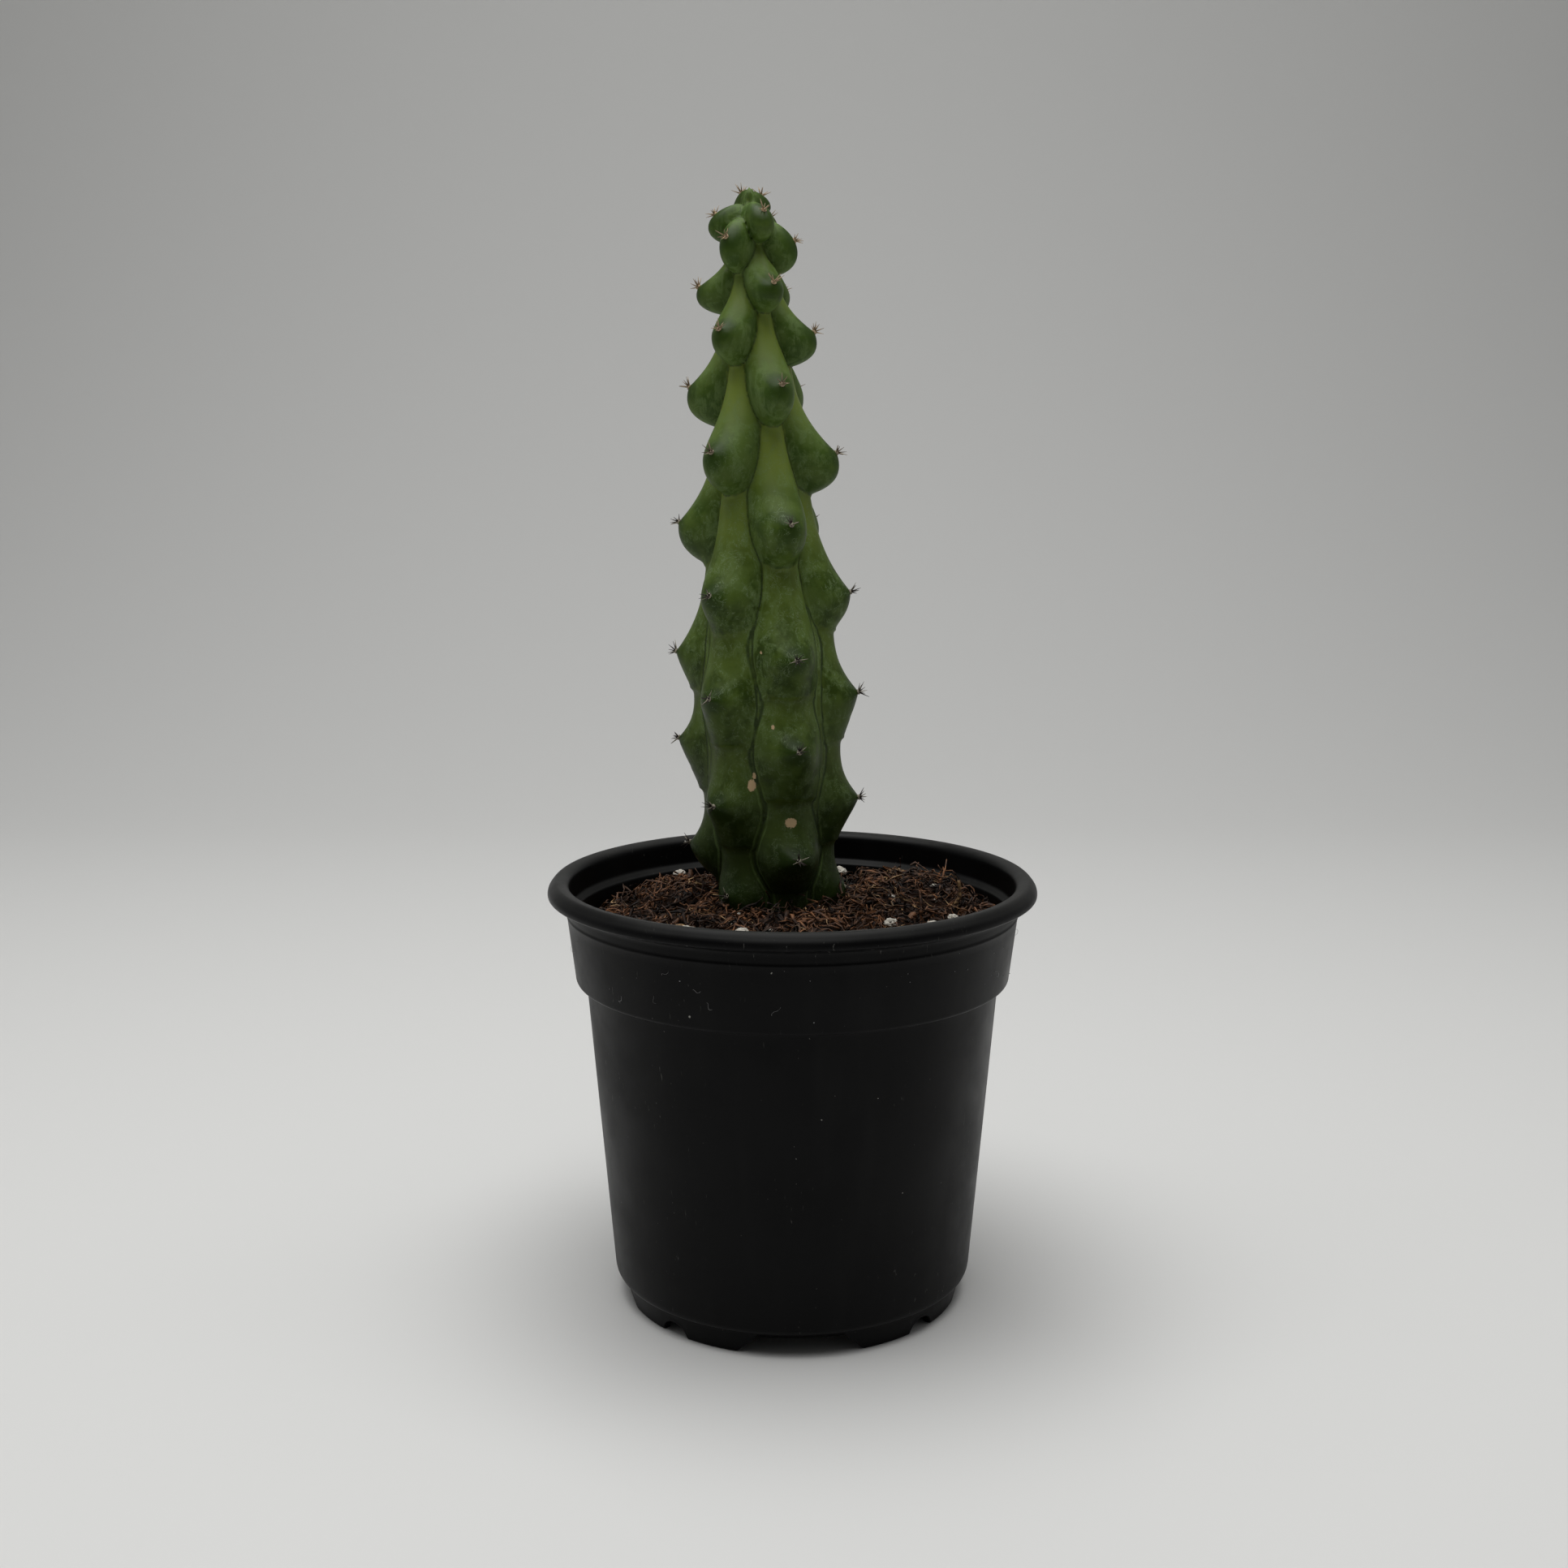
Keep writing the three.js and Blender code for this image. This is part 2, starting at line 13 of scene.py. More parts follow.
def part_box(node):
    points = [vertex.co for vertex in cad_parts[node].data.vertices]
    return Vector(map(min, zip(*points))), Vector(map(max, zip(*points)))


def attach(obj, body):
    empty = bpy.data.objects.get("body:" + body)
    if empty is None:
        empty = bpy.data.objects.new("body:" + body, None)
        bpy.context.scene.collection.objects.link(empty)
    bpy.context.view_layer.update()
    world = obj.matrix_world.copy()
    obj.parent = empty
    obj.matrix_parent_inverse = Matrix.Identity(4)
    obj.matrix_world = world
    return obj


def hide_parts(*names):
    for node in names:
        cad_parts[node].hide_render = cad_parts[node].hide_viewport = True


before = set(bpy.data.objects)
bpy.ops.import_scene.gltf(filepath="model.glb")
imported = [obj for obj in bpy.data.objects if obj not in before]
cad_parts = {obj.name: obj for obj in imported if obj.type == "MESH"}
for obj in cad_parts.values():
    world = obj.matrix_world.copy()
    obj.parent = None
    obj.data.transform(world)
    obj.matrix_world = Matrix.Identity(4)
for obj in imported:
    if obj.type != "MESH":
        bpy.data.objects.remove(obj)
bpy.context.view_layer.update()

bl_info = {
    "name": "Potted Tall Cactus",
    "version": (1, 0, 0),
    "blender": (4, 5, 0),
    "location": "View3D > Sidebar > Cactus",
    "description": "Builds a potted six-ribbed cactus around its packed model",
    "category": "Add Mesh",
}

MM = 0.001
BODY = "root"

_, POT_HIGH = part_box("pot")
STEM_LOW, STEM_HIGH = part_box("cactus_stem")
POT_WALL = 1.2


# ---------------------------------------------------------------- how the stem grows

# Azimuths are degrees from the front, positive towards +X. Heights and reaches are millimetres.
RIB_AZIMUTHS = (-100, -39, 18, 80, 140, 200)
TWIST_HEIGHT = 110
TWIST_PER_MM = 0.05
LEAN_HEIGHT = 90
LEAN_X = -3.9
LEAN_PER_MM = -0.035
BUTT = STEM_LOW.z / MM
BUTT_ROUND = 9
LOWEST_GAP = 20

FIRST_SERIES = (104, 128, 147.5, 176, 205, 226, 241)
SECOND_SERIES = (95, 115.5, 139, 161, 191, 216.5, 235.5)
NEWEST = {4: 245.2, 5: 245.6}

TIP_REACH = ((80, 12), (95, 16.4), (104, 19.2), (128, 20.6), (147, 20.2), (176, 18.2),
             (191, 17), (205, 14.6), (226, 11.6), (241, 9), (245, 7), (247, 6.8))
CREASE_REACH = ((80, 11), (98, 13.2), (119, 15.8), (140, 16.6), (150, 15.6), (167, 12.3),
                (181, 11), (197, 8.8), (219, 6.6), (229, 5.2), (240, 3), (247, 1.6))
HALF_WIDTH = ((80, 7.6), (128, 8.2), (161, 7), (191, 5.4), (216, 4.4), (235, 3.2), (241, 2.9),
              (245, 1.95), (247, 1.8))
CORE_SHARE = ((80, 0.92), (150, 0.88), (200, 0.84), (230, 0.75), (238, 0.45), (247, 0.1))
NECK_SHARE = ((80, 0.97), (145, 0.95), (170, 0.8), (190, 0.62), (230, 0.45))
CREASE_DROP_SHARE = ((80, 0.46), (130, 0.46), (180, 0.35), (228, 0.33), (235, 0.45),
                     (241, 0.48), (245, 1.1))
POINTEDNESS = ((80, 0.2), (98, 0.3), (112, 0.9), (150, 0.85), (185, 0.1), (200, 0))
OVERHANG = ((80, 1), (98, 1.2), (112, 0.4), (150, 0.7), (190, 1.7), (230, 1.2), (247, 0.3))
CROWN_RISE = ((235, 4), (241, 1.6), (245, 0.3), (247, 0.3))
KNOB_HEIGHT = 232
FOLD_SOFTNESS = ((80, 0.8), (96, 0.6), (106, 2.4), (150, 1.8), (180, 0.8), (200, 0.35), (247, 0.25))
VALLEY_SOFTNESS = ((80, 1.2), (180, 1.6), (225, 1.2), (240, 0.4))
NECK_FLARE = 3
ROUND_BULGE = 0.45
SHARP_BULGE = 0.2
CAP_DEPTH_PER_WIDTH = 1.4
CAP_DEPTH_LIMIT = 0.9
ROOT_SHARE = 0.3
POINTED_ROOT_SHARE = 0.6
THINNEST_KNOB = 0.1
TUCK = 3.0
SIDE_SMEAR = 0.62
SMEAR_TAPS = ((-1, 0.12), (-0.6, 0.24), (0, 0.28), (0.6, 0.24), (1, 0.12))
RIB_SOFTNESS = 0.5
SEAM_WIDTH = 0.5
SEAM_DEPTH = 0.3
BUTT_TRIM = 1.15
CROWN_MARGIN = 1

# How far around one tubercle its field is worked out, and what every place further off counts as.
NEAR_BELOW = 4
NEAR_ABOVE = 6
NEAR_ASIDE = 12
NEAR_BEHIND = -1
FAR = 9.0

# The skin's mesh: its cell, then how its vertices are pulled onto the true surface.
STEM_CELL = 0.54
GRID_MARGIN_CELLS = 3
PULL_ROUNDS = 2
SLOPE_STEP = 0.05
LEAST_SLOPE = 0.3
LONGEST_PULL = 0.2
TIP_SPREAD = 3.6

# Corky scars: azimuth, height, half width in degrees and half height in millimetres.
SCARS = ((16.4, 111.8, 5, 1.1), (-15, 120, 3.2, 1.3), (-13, 122, 1.6, 0.8), (4, 133, 1.4, 0.5),
         (-3, 149, 1.2, 0.4))


def read(profile, height):
    """The profile's value at each height, straight between its points."""
    levels, values = zip(*profile)
    return np.interp(height, levels, values)


def stem_axis_x(height):
    return LEAN_X + LEAN_PER_MM * (height - LEAN_HEIGHT)


def rib_azimuth(rib, height):
    return RIB_AZIMUTHS[rib] + TWIST_PER_MM * (height - TWIST_HEIGHT)


def areole_heights(rib):
    series = FIRST_SERIES if rib % 2 == 0 else SECOND_SERIES
    return series + ((NEWEST[rib],) if rib in NEWEST else ())


def tubercles(rib):
    """One rib's tubercles from the lowest up, each from the crease under it to the one above it."""
    tips = areole_heights(rib)
    feet = []
    for i, tip in enumerate(tips):
        below = tips[i - 1] if i else tips[0] - LOWEST_GAP
        feet.append(tip - read(CREASE_DROP_SHARE, tip) * (tip - below))
    rows = [{"foot": BUTT - BUTT_ROUND, "tip": BUTT, "head": feet[0], "knob": False}]
    for i, tip in enumerate(tips):
        knob = tip > KNOB_HEIGHT
        head = tip + read(CROWN_RISE, tip) if knob else feet[i + 1]
        rows.append({"foot": feet[i], "tip": tip, "head": head, "knob": knob})
    return rows


def knob_section(part, level):
    """The egg-shaped tubercles around the growing point: crest reach and half width at each level."""
    middle = (part["head"] + part["foot"]) / 2
    half_height = (part["head"] - part["foot"]) / 2
    bulge = np.sqrt(1 - np.clip((level - middle) / half_height, -1, 1) ** 2)
    root = read(CREASE_REACH, part["head"]) / 2
    crest = root + (read(TIP_REACH, part["tip"]) - root) * bulge
    half_width = read(HALF_WIDTH, part["tip"]) * np.maximum(bulge, THINNEST_KNOB)
    return crest, half_width, np.zeros_like(level)


def swell_along(part, level):
    """How much of its full rise one tubercle has at each level, from one at the tip to nothing."""
    above_tip = np.clip((level - part["tip"]) / (part["head"] - part["tip"]), 0, 1)
    below_tip = np.clip((part["tip"] - level) / (part["tip"] - part["foot"]), 0, 1)
    pointed = read(POINTEDNESS, part["tip"])
    rounded = (1 - below_tip ** 2) * (1 + ROUND_BULGE * below_tip)
    sharp = (1 - below_tip) * (1 + SHARP_BULGE * below_tip)
    return np.where(above_tip > 0, (1 - above_tip) ** NECK_FLARE, rounded + (sharp - rounded) * pointed)


def tubercle_section(part, level, across):
    """How far one tubercle's crest stands out, its half width, and how far up its neck each level is."""
    if part["knob"]:
        return knob_section(part, level)
    length = part["head"] - part["foot"]
    down = (part["head"] - level) / length
    tip_down = (part["head"] - part["tip"]) / length
    head_reach = read(CREASE_REACH, part["head"])
    foot_reach = read(CREASE_REACH, part["foot"])
    line = head_reach + (foot_reach - head_reach) * down
    tip_rise = read(TIP_REACH, part["tip"]) - (head_reach + (foot_reach - head_reach) * tip_down)
    above_tip = np.clip(1 - down / tip_down, 0, 1)
    below_tip = np.clip((down - tip_down) / (1 - tip_down), 0, 1)
    smear = SIDE_SMEAR * np.abs(across)
    swell = sum(share * swell_along(part, level + shift * smear) for shift, share in SMEAR_TAPS)
    widest = read(HALF_WIDTH, part["tip"])
    neck = widest * read(NECK_SHARE, part["head"])
    root = widest * (ROOT_SHARE + POINTED_ROOT_SHARE * read(POINTEDNESS, part["tip"]))
    narrowing = np.sqrt(1 - np.maximum(above_tip, below_tip) ** 2)
    half_width = np.where(above_tip > 0, neck + (widest - neck) * narrowing,
                          root + (widest - root) * narrowing)
    return line + tip_rise * swell, half_width, above_tip


def tubercle_field(part, outward, across, height):
    """Millimetres outside one tubercle, roughly, below zero inside it, and how far up its neck."""
    tip_reach = read(TIP_REACH, part["tip"])
    crease_reach = read(CREASE_REACH, part["tip"])
    proud = np.clip((outward - crease_reach) / (tip_reach - crease_reach), 0, 1)
    level = height - read(OVERHANG, part["tip"]) * (1 - proud)
    crest, half_width, above_tip = tubercle_section(part, level, across)
    depth = np.minimum(CAP_DEPTH_PER_WIDTH * half_width, CAP_DEPTH_LIMIT * crest)
    along = np.maximum(outward - (crest - depth), 0) / depth
    side = (np.hypot(along, across / half_width) - 1) * np.minimum(depth, half_width)
    under = part["foot"] - level
    over = (level if part["knob"] else height - TUCK) - part["head"]
    return np.maximum(np.maximum(side, under), over), above_tip


def soft_union(first, second, reach):
    """The lower of two fields, rounded off where they meet."""
    overlap = np.maximum(reach - np.abs(first - second), 0) / reach
    return np.minimum(first, second) - overlap ** 2 * reach / 4


def rib_field(rib, x, y, height):
    """One rib's field, with where its folds and necks lie."""
    turn = np.radians(rib_azimuth(rib, height))
    outward = x * np.sin(turn) - y * np.cos(turn)
    across = x * np.cos(turn) + y * np.sin(turn)
    takes_turns = [np.full_like(height, FAR), np.full_like(height, FAR)]
    neck = np.zeros_like(height)
    lowest = np.full_like(height, FAR)
    for i, part in enumerate(tubercles(rib)):
        near = np.flatnonzero((outward > NEAR_BEHIND) & (np.abs(across) < NEAR_ASIDE)
                              & (height > part["foot"] - NEAR_BELOW) & (height < part["head"] + NEAR_ABOVE))
        if near.size == 0:
            continue
        value, above = tubercle_field(part, outward[near], across[near], height[near])
        turns = takes_turns[i % 2]
        turns[near] = np.minimum(turns[near], value)
        wins = value < lowest[near]
        lowest[near] = np.where(wins, value, lowest[near])
        neck[near] = np.where(wins, above, neck[near])
    joined = soft_union(takes_turns[0], takes_turns[1], read(FOLD_SOFTNESS, height))
    return joined, takes_turns[0] - takes_turns[1], neck


def stem_field(points):
    """For points about the stem: millimetres outside its skin, and marks for the skin's colours.

    The marks fold, side and valley pass through zero along the skin's crease lines.
    """
    x, y, height = points.T
    x = x - stem_axis_x(height)
    radius = np.hypot(x, y)
    core = radius - read(CORE_SHARE, height) * read(CREASE_REACH, height)
    sides = [np.full_like(height, FAR), np.full_like(height, FAR)]
    nearest = np.full_like(height, FAR)
    marks = {name: np.zeros_like(height) for name in ("fold", "neck")}
    for rib in range(len(RIB_AZIMUTHS)):
        value, fold, neck = rib_field(rib, x, y, height)
        sides[rib % 2] = np.minimum(sides[rib % 2], value)
        wins = value < nearest
        nearest = np.where(wins, value, nearest)
        for name, mark in (("fold", fold), ("neck", neck)):
            marks[name] = np.where(wins, mark, marks[name])
    marks["side"] = sides[0] - sides[1]
    marks["valley"] = core - nearest
    ribs = soft_union(sides[0], sides[1], RIB_SOFTNESS)
    whole = soft_union(ribs, core, read(VALLEY_SOFTNESS, height))
    seam = np.exp(-(marks["side"] / SEAM_WIDTH) ** 2) * (marks["valley"] > 0)
    butt = (BUTT + BUTT_ROUND - height) / BUTT_ROUND
    trim = radius - (radius - core) * BUTT_TRIM * np.sqrt(np.clip(1 - butt ** 2, 0, 1))
    shrink = np.where(butt > 0, trim, -FAR)
    crown = height - (STEM_HIGH.z / MM + CROWN_MARGIN)
    return np.maximum(np.maximum(whole + SEAM_DEPTH * seam, shrink), crown), marks


# ---------------------------------------------------------------- meshes from numbers


def new_mesh_object(name, vertices, faces):
    mesh = bpy.data.meshes.new(name)
    mesh.from_pydata([tuple(v) for v in vertices], [], [tuple(f) for f in faces])
    mesh.validate()
    mesh.update()
    mesh.shade_smooth()
    piece = bpy.data.objects.new(name, mesh)
    bpy.context.scene.collection.objects.link(piece)
    return piece


def surface_net(values, origin, cell):
    """Quads on the zero surface of a grid of values: one vertex for each cell that the surface crosses."""
    inside = values < 0
    shape = np.array(values.shape) - 1
    total = np.zeros((*shape, 3))
    count = np.zeros(shape)
    corner_steps = [(i, j, k) for i in (0, 1) for j in (0, 1) for k in (0, 1)]
    for low in corner_steps:
        for axis in range(3):
            if low[axis] == 1:
                continue
            high = tuple(low[a] + (a == axis) for a in range(3))
            a = values[tuple(slice(low[d], low[d] + shape[d]) for d in range(3))]
            b = values[tuple(slice(high[d], high[d] + shape[d]) for d in range(3))]
            crosses = (a < 0) != (b < 0)
            share = np.where(crosses, a / np.where(crosses, a - b, 1), 0)
            for d in range(3):
                place = low[d] + (share if d == axis else 0)
                total[..., d] += np.where(crosses, place, 0)
            count += crosses
    used = count > 0
    number = np.full(shape, -1)
    number[used] = np.arange(used.sum())
    cells = np.argwhere(used)
    vertices = origin + cell * (cells + total[used] / count[used][:, None])
    faces = []
    for axis in range(3):
        p, q = (axis + 1) % 3, (axis + 2) % 3
        low = [slice(None)] * 3
        high = [slice(None)] * 3
        low[axis], high[axis] = slice(0, -1), slice(1, None)
        change = inside[tuple(low)].astype(int) - inside[tuple(high)].astype(int)
        edges = np.argwhere(change != 0)
        edges = edges[(edges[:, p] > 0) & (edges[:, q] > 0)]
        edges = edges[(edges[:, p] < shape[p]) & (edges[:, q] < shape[q])]
        outward = change[tuple(edges.T)] > 0
        step_p = np.eye(3, dtype=int)[p]
        step_q = np.eye(3, dtype=int)[q]
        ring = [edges - step_p - step_q, edges - step_q, edges, edges - step_p]
        quad = np.stack([number[tuple(c.T)] for c in ring], axis=1)
        quad[~outward] = quad[~outward][:, ::-1]
        faces.append(quad)
    return vertices, np.concatenate(faces)


def stem_surface(cell):
    """The stem's skin as vertices in millimetres, quads, and what lies where on it."""
    low = np.array(STEM_LOW) / MM - GRID_MARGIN_CELLS * cell
    high = np.array(STEM_HIGH) / MM + GRID_MARGIN_CELLS * cell
    counts = np.ceil((high - low) / cell).astype(int) + 1
    xs, ys, zs = (low[d] + cell * np.arange(counts[d]) for d in range(3))
    grid = np.stack(np.meshgrid(xs, ys, zs, indexing="ij"), axis=-1)
    values, _ = stem_field(grid.reshape(-1, 3))
    vertices, faces = surface_net(values.reshape(counts), low, cell)
    for _ in range(PULL_ROUNDS):
        value, _ = stem_field(vertices)
        slope = np.stack([(stem_field(vertices + step)[0] - stem_field(vertices - step)[0]) / (2 * SLOPE_STEP)
                          for step in SLOPE_STEP * np.eye(3)], axis=1)
        move = -value[:, None] * slope / np.maximum((slope ** 2).sum(1), LEAST_SLOPE)[:, None]
        length = np.linalg.norm(move, axis=1, keepdims=True)
        vertices = vertices + move * np.minimum(1, LONGEST_PULL * cell / np.maximum(length, 1e-9))
    _, marks = stem_field(vertices)
    return vertices, faces, marks


# ---------------------------------------------------------------- materials


def add_sockets(group, inputs, outputs):
    """Gives a node group its sockets: inputs are (name, kind, default), outputs are (name, kind)."""
    for name, kind, default in inputs:
        socket = group.interface.new_socket(name=name, in_out="INPUT", socket_type=kind)
        if default is not None:
            socket.default_value = default
    for name, kind in outputs:
        group.interface.new_socket(name=name, in_out="OUTPUT", socket_type=kind)


class Wiring:
    """A short way to add nodes to a shader tree and join them."""

    def __init__(self, tree):
        self.tree = tree

    def node(self, kind, operation=None, **settings):
        """Adds a node with the given operation and settings."""
        node = self.tree.nodes.new(kind)
        if operation:
            node.operation = operation
        for name, value in settings.items():
            setattr(node, name, value)
        return node

    def feed(self, socket, value):
        """Links another node's output to the socket, or sets the socket to a plain value."""
        if isinstance(value, bpy.types.NodeSocket):
            self.tree.links.new(value, socket)
        else:
            socket.default_value = value

    def math(self, operation, *values, clamp=False):
        node = self.node("ShaderNodeMath", operation, use_clamp=clamp)
        for socket, value in zip(node.inputs, values):
            self.feed(socket, value)
        return node.outputs[0]

    def between(self, value, low, high, to_low=0.0, to_high=1.0):
        """Goes smoothly from to_low, where value is low, to to_high, where it is high."""
        node = self.node("ShaderNodeMapRange", interpolation_type="SMOOTHSTEP")
        self.feed(node.inputs["Value"], value)
        self.feed(node.inputs["From Min"], low)
        self.feed(node.inputs["From Max"], high)
        self.feed(node.inputs["To Min"], to_low)
        self.feed(node.inputs["To Max"], to_high)
        return node.outputs["Result"]

    def blend(self, share, first, second, mode="MIX"):
        node = self.node("ShaderNodeMix", data_type="RGBA", blend_type=mode)
        self.feed(node.inputs["Factor"], share)
        self.feed(node.inputs["A"], first)
        self.feed(node.inputs["B"], second)
        return node.outputs["Result"]

    def place(self, scale=(1.0, 1.0, 1.0)):
        """Object coordinates in millimetres, stretched by scale."""
        coordinates = self.node("ShaderNodeTexCoord")
        mapping = self.node("ShaderNodeMapping")
        self.tree.links.new(coordinates.outputs["Object"], mapping.inputs["Vector"])
        mapping.inputs["Scale"].default_value = [s / MM for s in scale]
        return mapping.outputs["Vector"]

    def noise(self, place, scale, detail=3.0, roughness=0.55, distortion=0.0):
        node = self.node("ShaderNodeTexNoise")
        self.tree.links.new(place, node.inputs["Vector"])
        node.inputs["Scale"].default_value = scale
        node.inputs["Detail"].default_value = detail
        node.inputs["Roughness"].default_value = roughness
        node.inputs["Distortion"].default_value = distortion
        return node.outputs["Fac"]

    def line(self, value, solid, clear):
        """One where value is within solid of zero, fading to nothing at clear."""
        return self.between(self.math("ABSOLUTE", value), clear, solid)

    def attribute(self, name):
        node = self.node("ShaderNodeAttribute", attribute_name=name)
        return node.outputs["Fac"]

    def group(self, group, **values):
        node = self.node("ShaderNodeGroup")
        node.node_tree = group
        for name, value in values.items():
            self.feed(node.inputs[name.replace("_", " ")], value)
        return node

    def split(self, vector):
        """A vector's X, Y and Z."""
        node = self.node("ShaderNodeSeparateXYZ")
        self.feed(node.inputs[0], vector)
        return node.outputs

    def grey(self, value):
        """The same value in all three channels of a colour."""
        colour = self.node("ShaderNodeCombineColor")
        for channel in ("Red", "Green", "Blue"):
            self.feed(colour.inputs[channel], value)
        return colour.outputs["Color"]

    def bump(self, height, strength, distance):
        node = self.node("ShaderNodeBump")
        self.tree.links.new(height, node.inputs["Height"])
        node.inputs["Strength"].default_value = strength
        node.inputs["Distance"].default_value = distance
        return node.outputs["Normal"]


def new_material(name, **constants):
    """A material with a Principled shader whose named sockets hold the given plain values."""
    material = bpy.data.materials.new(name)
    material.use_nodes = True
    wiring = Wiring(material.node_tree)
    shader = material.node_tree.nodes["Principled BSDF"]
    for socket, value in constants.items():
        shader.inputs[socket.replace("_", " ")].default_value = value
    return material, wiring, shader


def speck_group():
    """Scattered specks: Mask is one on a speck. Spacing and Size are millimetres, Amount is a share."""
    name = "Specks"
    if name in bpy.data.node_groups:
        return bpy.data.node_groups[name]
    group = bpy.data.node_groups.new(name, "ShaderNodeTree")
    add_sockets(group, [("Spacing", "NodeSocketFloat", 4.0), ("Size", "NodeSocketFloat", 0.3),
                        ("Amount", "NodeSocketFloat", 0.5)], [("Mask", "NodeSocketFloat")])
    w = Wiring(group)
    source = w.node("NodeGroupInput")
    result = w.node("NodeGroupOutput")
    place = w.place()
    ragged = w.node("ShaderNodeVectorMath", "MULTIPLY_ADD")
    wobble = w.node("ShaderNodeTexNoise")
    w.feed(wobble.inputs["Vector"], place)
    wobble.inputs["Scale"].default_value = 2.2
    w.feed(ragged.inputs[0], wobble.outputs["Color"])
    ragged.inputs[1].default_value = (0.5, 0.5, 0.5)
    w.feed(ragged.inputs[2], place)
    cells = w.node("ShaderNodeTexVoronoi")
    w.feed(cells.inputs["Vector"], ragged.outputs[0])
    w.feed(cells.inputs["Scale"], w.math("DIVIDE", 1.0, source.outputs["Spacing"]))
    distance = w.math("MULTIPLY", cells.outputs["Distance"], source.outputs["Spacing"])
    split = w.node("ShaderNodeSeparateColor")
    w.feed(split.inputs["Color"], cells.outputs["Color"])
    radius = w.math("MULTIPLY", source.outputs["Size"], w.math("ADD", split.outputs["Green"], 0.3))
    near = w.between(distance, radius, w.math("MULTIPLY", radius, 0.6))
    chosen = w.math("LESS_THAN", split.outputs["Red"], source.outputs["Amount"])
    w.feed(result.inputs["Mask"], w.math("MULTIPLY", near, chosen))
    return group


def rgba(colour):
    return (*colour, 1.0)


# ---------------------------------------------------------------- settings a user may change


def colour_setting(name, description, default):
    return FloatVectorProperty(name=name, description=description, default=default, subtype="COLOR")


def length_setting(name, description, default):
    return FloatProperty(name=name, description=description, default=default, unit="LENGTH")


class CactusPotSettings(bpy.types.PropertyGroup):
    rim_radius: length_setting("Rim radius", "Outer radius of the rolled rim", POT_HIGH.x)
    height: length_setting("Height", "Ground to the top of the rim", POT_HIGH.z)
    wall: length_setting("Wall", "Thickness of the moulded wall", POT_WALL * MM)
    plastic: colour_setting("Plastic", "Colour of the plastic", (0.0018, 0.0018, 0.002))
    # The dust colour also serves as painted light on the pot's upward faces.
    dust: colour_setting("Dust", "Colour of the dust on the plastic", (0.17, 0.17, 0.16))


class CactusStemSettings(bpy.types.PropertyGroup):
    cell: length_setting("Cell", "Edge of one face of the stem's skin", STEM_CELL * MM)
    bulb: colour_setting("Bulb", "Skin of a young swollen tubercle", (0.047, 0.09, 0.012))
    middle: colour_setting("Middle", "Lighter green clouds in the skin", (0.082, 0.128, 0.011))
    neck: colour_setting("Neck", "Paler skin above each areole", (0.2, 0.26, 0.045))
    # The bloom colour also paints the highlight beside the creases.
    bloom: colour_setting("Bloom", "Waxy bloom on the skin", (0.125, 0.19, 0.058))
    wax: colour_setting("Wax", "Curled scuffs left in the bloom", (0.2, 0.27, 0.14))
    rubbed: colour_setting("Rubbed", "Skin rubbed clean around an areole", (0.022, 0.046, 0.005))
    scar: colour_setting("Scar", "Corky scars near the foot of the stem", (0.5, 0.36, 0.2))
    # The crease colour is painted shade, drawn along each fold.
    crease: colour_setting("Crease", "Dark line in each fold", (0.01, 0.02, 0.004))
    old_skin: colour_setting("Old skin", "Skin near the foot of the stem", (0.028, 0.052, 0.004))


class CactusAreoleSettings(bpy.types.PropertyGroup):
    spines: IntProperty(name="Spines", description="Spines on each areole", default=8, min=1, max=12)
    spine_length: length_setting("Spine length", "Longest spine", 0.0025)
    spine_radius: length_setting("Spine radius", "Spine radius at its foot", 0.0002)
    splay: FloatProperty(name="Splay", description="How far the spines lean outwards", default=1.05,
                         subtype="ANGLE")
    pad_radius: length_setting("Pad radius", "Radius of the woolly pad", 0.00062)
    seed: IntProperty(name="Seed", description="Changes how the spines fan out", default=3)
    young: colour_setting("Young", "Wool and spines near the top", (0.5, 0.36, 0.21))
    old: colour_setting("Old", "Wool and spines lower down", (0.3, 0.27, 0.2))
    dark: colour_setting("Dark", "Darker spine wood", (0.02, 0.012, 0.008))


class CactusMixSettings(bpy.types.PropertyGroup):
    litter: FloatProperty(name="Litter", description="How thickly fibres and crumbs lie on the mix",
                          default=1.0, min=0.0, max=2.0)
    seed: IntProperty(name="Seed", description="Changes where the fibres and crumbs lie", default=21)
    # Peat is dark, and this colour is made darker still as painted shade in the gaps among the fibres.
    peat: colour_setting("Peat", "Darkest part of the mix", (0.005, 0.0025, 0.0012))
    coir: colour_setting("Coir", "Red-brown part of the mix", (0.038, 0.015, 0.006))
    pale_coir: colour_setting("Pale coir", "Lighter fibres", (0.2, 0.085, 0.034))
    straw: colour_setting("Straw", "Yellowish fibres", (0.42, 0.27, 0.13))


# ---------------------------------------------------------------- pot

LIP_HEIGHT = 3.4
COVE_HEIGHT = 4.2
RIM_INNER = 50.1
COLLAR_TOP_RADIUS = 50.7
COLLAR_BOTTOM_RADIUS = 49
COLLAR_BOTTOM = 74.4
BODY_TOP_RADIUS = 46.6
BODY_BOTTOM_RADIUS = 41
BODY_BOTTOM = 5.6
FOOT_RADIUS = 39.2
FOOT_TAPER = 0.9
FOOT_WIDTH = 1.9
FLOOR_UNDERSIDE = 4.8
POT_COLUMNS = 480
NOTCH_TURN = 2.6
NOTCH_COUNT = 4
WIDE_NOTCH_BOTTOM = 28
WIDE_NOTCH_TOP = 18.5
WIDE_NOTCH_HEIGHT = 4.4
SMALL_NOTCH_WIDTH = 7
SMALL_NOTCH_HEIGHT = 3
DRAIN_RADIUS = 2.75
DRAIN_CIRCLE_RADIUS = 26
